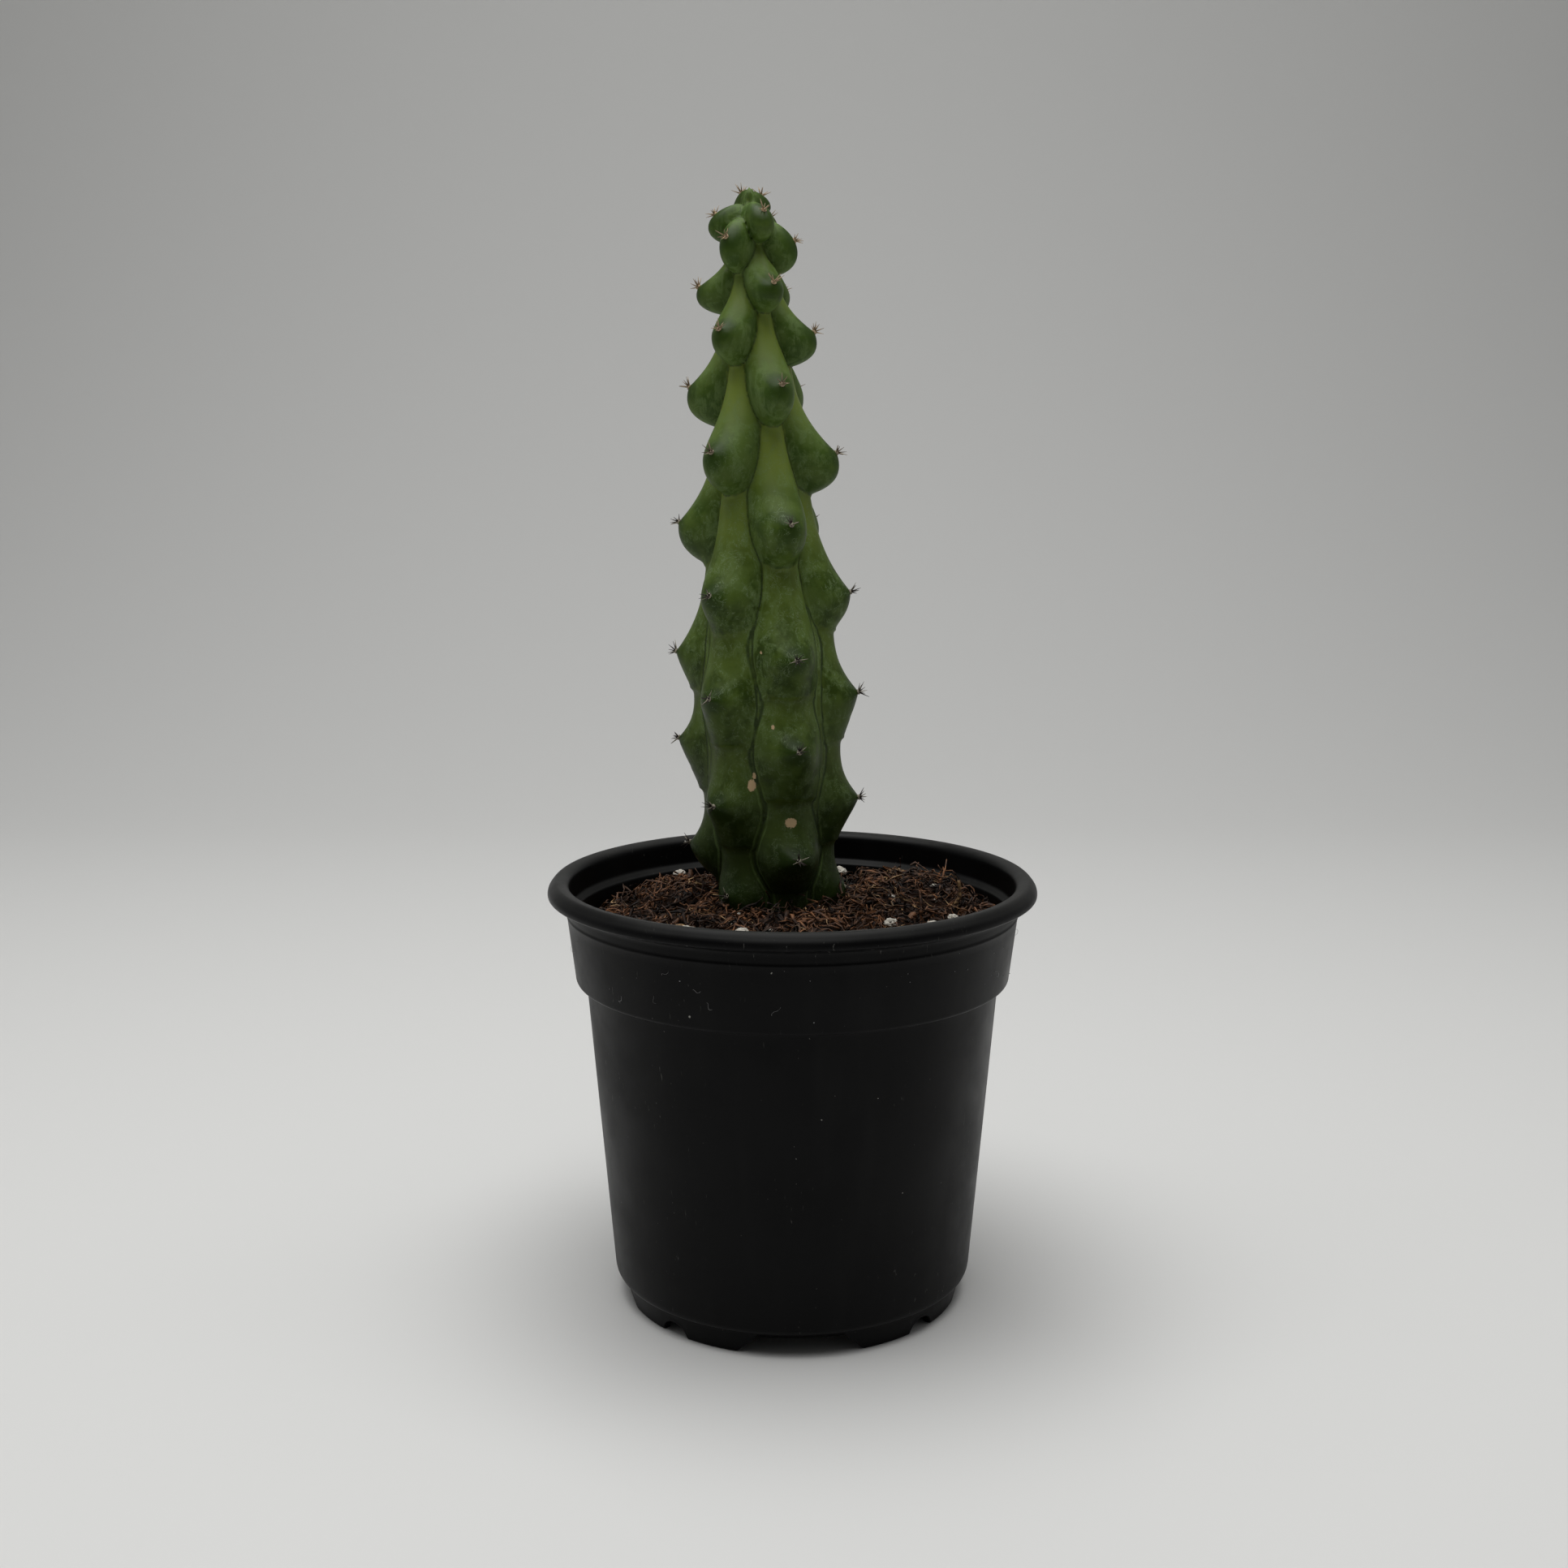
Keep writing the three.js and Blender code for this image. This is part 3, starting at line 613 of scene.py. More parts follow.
DRAIN_COUNT = 8
DRAIN_SIDES = 28
SHARP_ANGLE = 50
DUST_COLUMNS = 96
DUST_ROWS = 6
DUST_GAP = 0.02
DUST_ABOVE_STEP = 1.5
DUST_BELOW_COVE = 0.5


class Section:
    """A turned piece's outline, drawn with lines and rounded corners, as (radius, height) points."""

    def __init__(self, radius, height):
        self.points = [(radius, height)]

    def line(self, radius, height, steps=1):
        r0, z0 = self.points[-1]
        for i in range(1, steps + 1):
            self.points.append((r0 + (radius - r0) * i / steps, z0 + (height - z0) * i / steps))
        return self

    def curve(self, corner, end, steps):
        """A quarter-round bend that leaves towards corner and arrives at end."""
        r0, z0 = self.points[-1]
        for i in range(1, steps + 1):
            t = i / steps
            radius = (1 - t) ** 2 * r0 + 2 * t * (1 - t) * corner[0] + t * t * end[0]
            height = (1 - t) ** 2 * z0 + 2 * t * (1 - t) * corner[1] + t * t * end[1]
            self.points.append((radius, height))
        return self


def pot_section(settings):
    """The pot's outline in millimetres: the underside, up the outside, over the rim and down the inside.

    The small offsets say where each rounded corner starts and ends.
    """
    rim = settings.rim_radius / MM
    top = settings.height / MM
    wall = settings.wall / MM
    floor = FLOOR_UNDERSIDE + wall
    body_inside = BODY_BOTTOM_RADIUS - wall
    collar_inside = COLLAR_BOTTOM_RADIUS - wall
    collar_floor = COLLAR_BOTTOM + wall
    lip = top - LIP_HEIGHT
    collar_top = lip - COVE_HEIGHT
    middle = (rim + RIM_INNER) / 2 + 0.3
    foot = FOOT_RADIUS - FOOT_TAPER
    s = Section(0, FLOOR_UNDERSIDE)
    s.line(FOOT_RADIUS - FOOT_WIDTH - 0.8, FLOOR_UNDERSIDE, 12)
    s.curve((FOOT_RADIUS - FOOT_WIDTH, FLOOR_UNDERSIDE), (FOOT_RADIUS - FOOT_WIDTH, 4.1), 4)
    s.line(foot - FOOT_WIDTH, 0.3, 5)
    s.curve((foot - FOOT_WIDTH, 0), (foot - FOOT_WIDTH + 0.3, 0), 3)
    s.line(foot - 0.4, 0, 3)
    s.curve((foot, 0), (foot + 0.08, 0.4), 4)
    s.line(FOOT_RADIUS - 0.1, BODY_BOTTOM - 0.6, 6)
    s.curve((FOOT_RADIUS, BODY_BOTTOM - 0.3), (FOOT_RADIUS + 0.25, BODY_BOTTOM - 0.26), 3)
    s.line(BODY_BOTTOM_RADIUS - 1.0, BODY_BOTTOM, 2)
    s.curve((BODY_BOTTOM_RADIUS - 0.1, BODY_BOTTOM + 0.1), (BODY_BOTTOM_RADIUS + 0.05, BODY_BOTTOM + 1.8), 7)
    s.line(BODY_TOP_RADIUS - 0.04, COLLAR_BOTTOM - 1.0, 34)
    s.curve((BODY_TOP_RADIUS, COLLAR_BOTTOM - 0.3), (BODY_TOP_RADIUS + 0.5, COLLAR_BOTTOM - 0.22), 4)
    s.line(COLLAR_BOTTOM_RADIUS - 0.75, COLLAR_BOTTOM, 2)
    s.curve((COLLAR_BOTTOM_RADIUS, COLLAR_BOTTOM), (COLLAR_BOTTOM_RADIUS + 0.02, COLLAR_BOTTOM + 0.9), 7)
    s.line(COLLAR_TOP_RADIUS, collar_top - 0.5, 10)
    s.curve((COLLAR_TOP_RADIUS + 0.28, collar_top), (COLLAR_TOP_RADIUS + 0.05, collar_top + 0.35), 5)
    s.line(COLLAR_TOP_RADIUS + 0.25, lip - 1.9, 4)
    s.curve((COLLAR_TOP_RADIUS + 0.6, lip - 0.95), (COLLAR_TOP_RADIUS + 1.8, lip - 0.72), 6)
    s.line(rim - 0.75, lip - 0.12, 4)
    s.curve((rim - 0.1, lip - 0.02), (rim - 0.06, lip + 0.42), 5)
    s.curve((rim + 0.02, lip + 1.5), (rim - 0.75, top - 1.05), 8)
    s.curve((rim - 1.5, top), (middle, top), 10)
    s.curve((RIM_INNER + 0.45, top - 0.02), (RIM_INNER + 0.05, top - 1.5), 8)
    s.line(RIM_INNER, collar_top + wall + 0.5, 6)
    s.curve((RIM_INNER, collar_top + wall), (RIM_INNER - 0.4, collar_top + wall - 0.3), 4)
    s.line(COLLAR_TOP_RADIUS - wall - 0.5, collar_top + 0.15, 2)
    s.curve((COLLAR_TOP_RADIUS - wall - 0.8, collar_top),
            (COLLAR_TOP_RADIUS - wall - 0.82, collar_top - 0.6), 4)
    s.line(collar_inside, collar_floor + 0.6, 10)
    s.curve((collar_inside, collar_floor), (collar_inside - 0.6, collar_floor - 0.2), 4)
    s.line(BODY_TOP_RADIUS - wall, COLLAR_BOTTOM, 2)
    s.line(body_inside, floor + 1.6, 6)
    s.curve((body_inside, floor), (body_inside - 1.6, floor), 5)
    s.line(0, floor, 3)
    return s.points


def notch_height(azimuth):
    """How far the foot's lower edge is cut away at each azimuth, in millimetres."""
    step = 360 / NOTCH_COUNT
    reach = FOOT_RADIUS - FOOT_TAPER
    from_wide = np.abs((azimuth - NOTCH_TURN + step / 2) % step - step / 2)
    from_small = np.abs((azimuth - NOTCH_TURN) % step - step / 2)
    across_wide = np.radians(from_wide) * reach
    across_small = np.radians(from_small) * reach
    slope = (WIDE_NOTCH_BOTTOM - WIDE_NOTCH_TOP) / 2
    wide = np.clip((WIDE_NOTCH_BOTTOM / 2 - across_wide) / slope, 0, 1) * WIDE_NOTCH_HEIGHT
    arch = 1 - (across_small / (SMALL_NOTCH_WIDTH / 2)) ** 2
    small = SMALL_NOTCH_HEIGHT * np.sqrt(np.clip(arch, 0, 1))
    return np.maximum(wide, small)


def turned_mesh(name, section, columns, shape_ring):
    """A closed turned piece, with one vertex at each end of the outline, both on the axis."""
    radii, heights = np.array(section[1:-1]).T
    azimuths = np.arange(columns) * 360 / columns
    radius = np.repeat(radii[:, None], columns, axis=1)
    height = np.repeat(heights[:, None], columns, axis=1)
    radius, height = shape_ring(radius, height, azimuths[None, :])
    turn = np.radians(azimuths)[None, :]
    rings = np.stack([radius * np.sin(turn), -radius * np.cos(turn), height], axis=-1) * MM
    low = (0, 0, section[0][1] * MM)
    high = (0, 0, section[-1][1] * MM)
    vertices = [low, *rings.reshape(-1, 3), high]
    last = len(vertices) - 1
    faces = []
    for column in range(columns):
        beside = (column + 1) % columns
        faces.append((0, 1 + beside, 1 + column))
        for ring in range(len(radii) - 1):
            a, b = 1 + ring * columns + column, 1 + ring * columns + beside
            faces.append((a, b, b + columns, a + columns))
        top_ring = 1 + (len(radii) - 1) * columns
        faces.append((top_ring + column, top_ring + beside, last))
    return new_mesh_object(name, vertices, faces)


def notched_foot(radius, height, azimuth):
    """Squeezes the foot's lower part up to the edge of each notch."""
    cut = notch_height(azimuth)
    below = height < FLOOR_UNDERSIDE - 0.01
    raised = cut + height * (FLOOR_UNDERSIDE - cut) / FLOOR_UNDERSIDE
    moved = np.where(below, raised, height)
    flare = FOOT_TAPER * (moved - height) / FLOOR_UNDERSIDE
    return np.where(below, radius + flare * (1 - height / FLOOR_UNDERSIDE), radius), moved


def joined_cylinders(name, places, radius, low, high):
    """Upright closed cylinders at the given places, as one piece."""
    work = bmesh.new()
    for x, y in places:
        spot = Matrix.Translation((x * MM, y * MM, (low + high) / 2 * MM))
        bmesh.ops.create_cone(work, cap_ends=True, segments=DRAIN_SIDES, radius1=radius * MM,
                              radius2=radius * MM, depth=(high - low) * MM, matrix=spot)
    mesh = bpy.data.meshes.new(name)
    work.to_mesh(mesh)
    work.free()
    cutter = bpy.data.objects.new(name, mesh)
    bpy.context.scene.collection.objects.link(cutter)
    return cutter


def baked(piece):
    """Turns the piece's modifiers into plain mesh."""
    bpy.context.view_layer.update()
    evaluated = piece.evaluated_get(bpy.context.evaluated_depsgraph_get())
    mesh = bpy.data.meshes.new_from_object(evaluated)
    piece.modifiers.clear()
    old = piece.data
    piece.data = mesh
    mesh.name = piece.name
    bpy.data.meshes.remove(old)
    return piece


def drain_places():
    """The drain holes: one in the middle of the floor and a circle of them around it."""
    places = [(0, 0)]
    for i in range(DRAIN_COUNT):
        turn = math.radians(NOTCH_TURN + i * 360 / DRAIN_COUNT)
        places.append((DRAIN_CIRCLE_RADIUS * math.sin(turn), -DRAIN_CIRCLE_RADIUS * math.cos(turn)))
    return places


def plastic_material(settings):
    material, w, shader = new_material("Black moulded plastic", Roughness=0.42, IOR=1.5,
                                       Specular_IOR_Level=0.1)
    place = w.place()
    flow = w.noise(w.place((1, 1, 0.12)), 0.12, 4)
    cloud = w.noise(place, 0.045, 5, 0.6)
    grain = w.noise(place, 2.5, 2)
    geometry = w.node("ShaderNodeNewGeometry")
    # Dust settles on the faces that look up, and the same mask lightens those faces as painted light on the
    # rim's top.
    upward = w.between(w.split(geometry.outputs["Normal"])["Z"], 0.25, 1.0)
    top_dust_and_light = w.math("MULTIPLY", upward, w.between(cloud, 0.25, 0.7, 0.3, 1.0))
    film = w.math("MULTIPLY", w.between(flow, 0.45, 0.8), 0.16)
    dust_and_top_light = w.math("MAXIMUM", w.math("MULTIPLY", top_dust_and_light, 0.16), w.math("MULTIPLY", film, 0.08))
    specks = w.group(speck_group(), Spacing=5.5, Size=0.22, Amount=0.35)
    fine = w.group(speck_group(), Spacing=1.7, Size=0.07, Amount=0.3)
    scuffs = w.noise(w.place((1.6, 1.6, 0.22)), 1.1, 3, 0.5, 1.2)
    scuffed = w.math("MULTIPLY", w.between(scuffs, 0.68, 0.76), w.between(cloud, 0.5, 0.62, 0.0, 0.25))
    spotted = w.math("MAXIMUM", specks.outputs["Mask"], w.math("MULTIPLY", fine.outputs["Mask"], 0.5))
    spotted = w.math("MAXIMUM", spotted, scuffed)
    colour = w.blend(dust_and_top_light, rgba(settings.plastic), rgba(settings.dust))
    colour = w.blend(w.math("MULTIPLY", spotted, 0.75), colour, (0.45, 0.44, 0.4, 1))
    w.feed(shader.inputs["Base Color"], colour)
    smooth = w.between(cloud, 0.3, 0.75, 0.34, 0.5)
    rough = w.math("ADD", smooth, w.math("MULTIPLY", dust_and_top_light, 0.5), clamp=True)
    w.feed(shader.inputs["Roughness"], rough)
    relief = w.math("ADD", w.math("MULTIPLY", grain, 0.25), w.math("MULTIPLY", spotted, 0.6))
    w.feed(shader.inputs["Normal"], w.bump(relief, 0.25, 0.0001))
    return material


class CACTUS_OT_pot(bpy.types.Operator):
    """Turns the nursery pot with its rolled rim, collar, notched foot and drain holes"""

    bl_idname = "cactus.pot"
    bl_label = "Nursery pot"

    def execute(self, context):
        settings = context.scene.cactus_pot
        pot = turned_mesh("nursery_pot", pot_section(settings), POT_COLUMNS, notched_foot)
        wall = settings.wall / MM
        cutter = joined_cylinders("drain_cutter", drain_places(), DRAIN_RADIUS,
                                  FLOOR_UNDERSIDE - 2 * wall, FLOOR_UNDERSIDE + 3 * wall)
        drains = pot.modifiers.new("drains", "BOOLEAN")
        drains.operation = "DIFFERENCE"
        drains.solver = "EXACT"
        drains.object = cutter
        baked(pot)
        bpy.data.objects.remove(cutter)
        pot.data.shade_smooth()
        pot.data.set_sharp_from_angle(angle=math.radians(SHARP_ANGLE))
        pot.data.materials.clear()
        pot.data.materials.append(plastic_material(settings))
        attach(pot, BODY)
        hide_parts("pot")
        return {"FINISHED"}


def dusty_band(name):
    """An open band just outside the collar, for lint and dust to lie on."""
    lowest = COLLAR_BOTTOM + DUST_ABOVE_STEP
    highest = POT_HIGH.z / MM - LIP_HEIGHT - COVE_HEIGHT - DUST_BELOW_COVE
    heights = np.linspace(lowest, highest, DUST_ROWS)
    vertices, faces = [], []
    for row, height in enumerate(heights):
        share = (height - COLLAR_BOTTOM) / (heights[-1] - COLLAR_BOTTOM)
        radius = COLLAR_BOTTOM_RADIUS + (COLLAR_TOP_RADIUS - COLLAR_BOTTOM_RADIUS) * share + DUST_GAP
        for column in range(DUST_COLUMNS):
            turn = math.tau * column / DUST_COLUMNS
            vertices.append((radius * math.sin(turn), -radius * math.cos(turn), height))
            if row:
                beside = (column + 1) % DUST_COLUMNS
                a, b = (row - 1) * DUST_COLUMNS + column, (row - 1) * DUST_COLUMNS + beside
                faces.append((a, b, b + DUST_COLUMNS, a + DUST_COLUMNS))
    return new_mesh_object(name, np.array(vertices) * MM, faces)


class CACTUS_OT_lint(bpy.types.Operator):
    """Leaves a little lint and dust on the collar of the pot"""

    bl_idname = "cactus.lint"
    bl_label = "Lint and dust"

    def execute(self, context):
        material, w, shader = new_material("Lint", Roughness=0.9)
        shade = w.between(w.noise(w.place(), 0.4, 2), 0.35, 0.65, 0.18, 0.42)
        w.feed(shader.inputs["Base Color"], w.grey(shade))
        grown(dusty_band("lint"), strand_group(), material, Density=5200.0, Length=0.0026, Thickness=0.00003,
              Bend=0.0012, Tilt=0.03, Crinkle=0.0006, Reach=POT_HIGH.x, Seed=4)
        grown(dusty_band("dust_crumbs"), crumb_group(), material, Density=9000.0, Size=0.00013, Flatness=0.8,
              Reach=POT_HIGH.x, Seed=6)
        for name in ("lint", "dust_crumbs"):
            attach(bpy.data.objects[name], BODY)
        return {"FINISHED"}


# ---------------------------------------------------------------- stem


def scar_distance(vertices):
    """Distance from the nearest scar, counted in that scar's own width and height: one at its edge."""
    x, y, height = vertices.T
    across = np.degrees(np.arctan2(x - stem_axis_x(height), -y))
    nearest = np.full_like(height, FAR)
    for azimuth, level, half_turn, half_height in SCARS:
        apart = np.hypot((across - azimuth) / half_turn, (height - level) / half_height)
        nearest = np.minimum(nearest, apart)
    return nearest


def store_marks(mesh, marks):
    for name, values in marks.items():
        attribute = mesh.attributes.new(name, "FLOAT", "POINT")
        attribute.data.foreach_set("value", values.astype(np.float32))


def skin_material(settings):
    material, w, shader = new_material("Cactus skin", Roughness=0.45, IOR=1.4, Specular_IOR_Level=0.22,
                                       Subsurface_Weight=0.15, Subsurface_Scale=0.002)
    shader.inputs["Subsurface Radius"].default_value = (0.6, 1.0, 0.25)
    place = w.place()
    height = w.split(place)["Z"]
    neck, tip, valley, side, fold = (w.attribute(name) for name in ("neck", "tip", "valley", "side", "fold"))
    mottle = w.noise(place, 0.16, 5, 0.6)
    patches = w.noise(place, 0.3, 6, 0.65, 0.8)
    streaks = w.noise(w.place((1, 1, 0.3)), 0.7, 5, 0.65, 0.5)
    fine = w.noise(place, 2.4, 4, 0.6)

    # Young skin is pale and yellowish on the necks; lower down the whole skin is a deeper green.
    ripe = w.between(height, 150, 205)
    in_valley = w.between(valley, 1.2, -0.4)
    pale = w.math("MAXIMUM", w.between(neck, 0.0, 0.75), in_valley)
    pale = w.math("MULTIPLY", pale, w.math("ADD", 0.2, w.math("MULTIPLY", ripe, 0.8)))
    pale = w.math("MULTIPLY", pale, w.between(height, 212, 238, 0.9, 0.4))
    colour = w.blend(ripe, rgba(settings.old_skin), rgba(settings.bulb))
    colour = w.blend(w.math("MULTIPLY", w.between(mottle, 0.35, 0.65), 0.6), colour, rgba(settings.middle))
    colour = w.blend(pale, colour, rgba(settings.neck))

    # The bloom lies in streaks and patches and is rubbed away around the areoles.
    patchy = w.math("MULTIPLY", w.math("SUBTRACT", patches, 0.5), 0.9)
    rubbed = w.between(w.math("ADD", tip, patchy), 0.1, 0.75)
    waxy = w.math("MULTIPLY", w.between(streaks, 0.42, 0.58), w.between(patches, 0.42, 0.54))
    waxy = w.math("ADD", waxy, w.math("MULTIPLY", w.between(mottle, 0.42, 0.58), 0.4), clamp=True)
    waxy = w.math("MULTIPLY", waxy, w.between(fine, 0.2, 0.6, 0.7, 1.0))
    beside = w.between(w.math("ABSOLUTE", side), 4.5, 0.6, 0.55, 1.0)
    waxy = w.math("MULTIPLY", waxy, w.math("MAXIMUM", beside, ripe))
    waxy = w.math("MULTIPLY", waxy, w.math("SUBTRACT", 1.0, rubbed))
    waxy = w.math("MULTIPLY", waxy, w.math("SUBTRACT", 1.0, w.math("MULTIPLY", pale, 0.8)))
    colour = w.blend(w.math("MULTIPLY", waxy, 0.75), colour, rgba(settings.bloom))
    colour = w.blend(w.math("MULTIPLY", rubbed, 0.8), colour, rgba(settings.rubbed))
    colour = w.blend(w.between(height, 128, 88, 0.0, 0.65), colour, rgba(settings.rubbed))
    curls = w.line(w.math("SUBTRACT", w.noise(place, 0.42, 4, 0.62, 1.6), 0.5), 0.004, 0.024)
    curls = w.math("MULTIPLY", curls, w.between(patches, 0.46, 0.56))
    curls = w.math("MULTIPLY", curls, w.between(height, 215, 170, 0.0, 0.5))
    colour = w.blend(curls, colour, rgba(settings.wax))

    # The foot of the stem is darker.
    colour = w.blend(1.0, colour, w.grey(w.between(height, 158, 95, 1.0, 0.54)), "MULTIPLY")

    # Painted shade lines follow the creases, with a painted highlight beside some of them, and corky scars
    # lie on top.
    side_shade_line = w.math("MULTIPLY", w.line(side, 0.08, 0.36), w.between(valley, -0.2, 0.4))
    valley_shade_line = w.math("MULTIPLY", w.line(valley, 0.04, 0.3), w.between(height, 245, 232))
    folds_seen = w.math("MAXIMUM", w.between(height, 112, 96, 0.15, 0.8),
                        w.between(height, 150, 185, 0.0, 0.6))
    fold_shade_line = w.math("MULTIPLY", w.line(fold, 0.08, 0.4), folds_seen)
    line = w.math("MAXIMUM", side_shade_line, valley_shade_line)
    line = w.math("MULTIPLY", line, w.between(height, 205, 160, 0.5, 1.0))
    line = w.math("MAXIMUM", line, fold_shade_line)
    line = w.math("MULTIPLY", line, w.between(patches, 0.3, 0.6, 0.3, 0.8))
    # The pale edge beside the creases is a painted highlight, drawn in the bloom colour.
    edge = w.math("MULTIPLY", w.line(w.math("SUBTRACT", w.math("ABSOLUTE", side), 0.75), 0.1, 0.3),
                  w.math("MULTIPLY", w.between(height, 190, 150), w.between(streaks, 0.35, 0.6, 0.1, 0.5)))
    colour = w.blend(edge, colour, rgba(settings.bloom))
    colour = w.blend(line, colour, rgba(settings.crease))
    ragged = w.math("MULTIPLY", w.math("SUBTRACT", fine, 0.5), 0.9)
    scar = w.between(w.math("ADD", w.attribute("scar"), ragged), 1.1, 0.85)
    colour = w.blend(scar, colour, rgba(settings.scar))
    specks = w.group(speck_group(), Spacing=3.6, Size=0.17, Amount=0.3)
    low_down = w.between(height, 190, 110, 0.05, 0.8)
    speck = w.math("MULTIPLY", specks.outputs["Mask"], low_down)
    colour = w.blend(speck, colour, (0.4, 0.42, 0.33, 1))
    w.feed(shader.inputs["Base Color"], colour)
    w.feed(shader.inputs["Roughness"], w.math("ADD", 0.42, w.math("MULTIPLY", waxy, 0.25), clamp=True))
    relief = w.math("SUBTRACT", w.math("MULTIPLY", fine, 0.3), w.math("MULTIPLY", line, 1.6))
    raised = w.math("ADD", speck, w.math("MULTIPLY", scar, 3.0))
    relief = w.math("ADD", relief, w.math("MULTIPLY", raised, 0.5))
    w.feed(shader.inputs["Normal"], w.bump(relief, 0.4, 0.00015))
    return material


class CACTUS_OT_stem(bpy.types.Operator):
    """Grows the six-ribbed stem with its swollen tubercles"""

    bl_idname = "cactus.stem"
    bl_label = "Cactus stem"

    def execute(self, context):
        settings = context.scene.cactus_stem
        vertices, faces, marks = stem_surface(settings.cell / MM)
        tips = np.array([areole_place(rib, height)[0] for rib, height in all_areoles()])
        nearest = np.min(np.linalg.norm(vertices[:, None, :] - tips[None, :, :], axis=2), axis=1)
        marks["tip"] = np.exp(-(nearest / TIP_SPREAD) ** 2)
        marks["scar"] = scar_distance(vertices)
        stem = new_mesh_object("cactus_column", vertices * MM, faces)
        store_marks(stem.data, marks)
        stem.data.materials.append(skin_material(settings))
        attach(stem, BODY)
        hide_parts("cactus_stem")
        return {"FINISHED"}


# ---------------------------------------------------------------- scattering small things

LITTER_REACH = 0.047
STRAND_RIPPLE = 260.0
CRUMB_RIPPLE = 900.0
SPINE_TIP_RADIUS = 0.00003


class Builder(Wiring):
    """Adds and joins nodes of a geometry group."""

    def __init__(self, name, inputs):
        group = bpy.data.node_groups.new(name, "GeometryNodeTree")
        add_sockets(group, [("Geometry", "NodeSocketGeometry", None), *inputs,
                            ("Material", "NodeSocketMaterial", None)], [("Geometry", "NodeSocketGeometry")])
        super().__init__(group)
        self.source = self.node("NodeGroupInput").outputs
        self.result = self.node("NodeGroupOutput").inputs

    def step(self, kind, operation=None, values=None, **settings):
        """Adds a node with its sockets fed by name and returns it."""
        node = self.node(kind, operation, **settings)
        for name, value in (values or {}).items():
            self.feed(node.inputs[name], value)
        return node

    def random(self, low, high, seed, kind="FLOAT_VECTOR"):
        node = self.node("FunctionNodeRandomValue", data_type=kind)
        first = {"FLOAT_VECTOR": 0, "FLOAT": 2}[kind]
        self.feed(node.inputs[first], low)
        self.feed(node.inputs[first + 1], high)
        self.feed(node.inputs["Seed"], seed)
        return node.outputs[{"FLOAT_VECTOR": 0, "FLOAT": 1}[kind]]

    def scattered_points(self):
        """Points over the given mesh, fewer where its attribute bare is one."""
        bare = self.step("GeometryNodeInputNamedAttribute", data_type="FLOAT",
                         values={"Name": "bare"}).outputs[0]
        density = self.math("MULTIPLY", self.source["Density"], self.math("SUBTRACT", 1.0, bare))
        return self.step("GeometryNodeDistributePointsOnFaces", values={
            "Mesh": self.source["Geometry"], "Density": density, "Seed": self.source["Seed"]})

    def vector(self, x, y, z):
        return self.step("ShaderNodeCombineXYZ", values={"X": x, "Y": y, "Z": z}).outputs[0]

    def turned(self, rotation, by):
        """A rotation turned further about its own axes."""
        return self.step("FunctionNodeRotateRotation", rotation_space="LOCAL",
                         values={"Rotation": rotation, "Rotate By": by}).outputs[0]

    def rotation(self, euler):
        return self.step("FunctionNodeEulerToRotation", values={"Euler": euler}).outputs[0]

    def crumple(self, geometry, scale, amount):
        """Pushes every vertex about by a noise of the given scale."""
        ripple = self.step("ShaderNodeTexNoise", values={"Scale": scale, "Detail": 2.0})
        centred = self.step("ShaderNodeVectorMath", "SUBTRACT")
        self.feed(centred.inputs[0], ripple.outputs["Color"])
        centred.inputs[1].default_value = (0.5, 0.5, 0.5)
        push = self.step("ShaderNodeVectorMath", "SCALE")
        self.feed(push.inputs[0], centred.outputs[0])
        self.feed(push.inputs["Scale"], amount)
        return self.step("GeometryNodeSetPosition",
                         values={"Geometry": geometry, "Offset": push.outputs[0]}).outputs[0]

    def hold_inside(self, geometry, reach):
        """Pulls what lies further than reach from the middle back to that circle."""
        x, y, z = self.split(self.node("GeometryNodeInputPosition").outputs[0])
        out = self.math("SQRT", self.math("ADD", self.math("MULTIPLY", x, x), self.math("MULTIPLY", y, y)))
        share = self.math("MINIMUM", 1.0, self.math("DIVIDE", reach, out))
        held = self.vector(self.math("MULTIPLY", x, share), self.math("MULTIPLY", y, share), z)
        return self.step("GeometryNodeSetPosition",
                         values={"Geometry": geometry, "Position": held}).outputs[0]

    def finish(self, instances, smooth=True, crumple=None, reach=None):
        """Ends the group: real mesh, crumpled and held inside where asked, with its material."""
        plain = self.step("GeometryNodeRealizeInstances", values={"Geometry": instances}).outputs[0]
        if crumple:
            plain = self.crumple(plain, *crumple)
        if reach:
            plain = self.hold_inside(plain, reach)
        shaded = self.step("GeometryNodeSetShadeSmooth",
                           values={"Geometry": plain, "Shade Smooth": smooth}).outputs[0]
        dressed = self.step("GeometryNodeSetMaterial",
                            values={"Geometry": shaded, "Material": self.source["Material"]}).outputs[0]
        self.feed(self.result["Geometry"], dressed)
        return self.tree


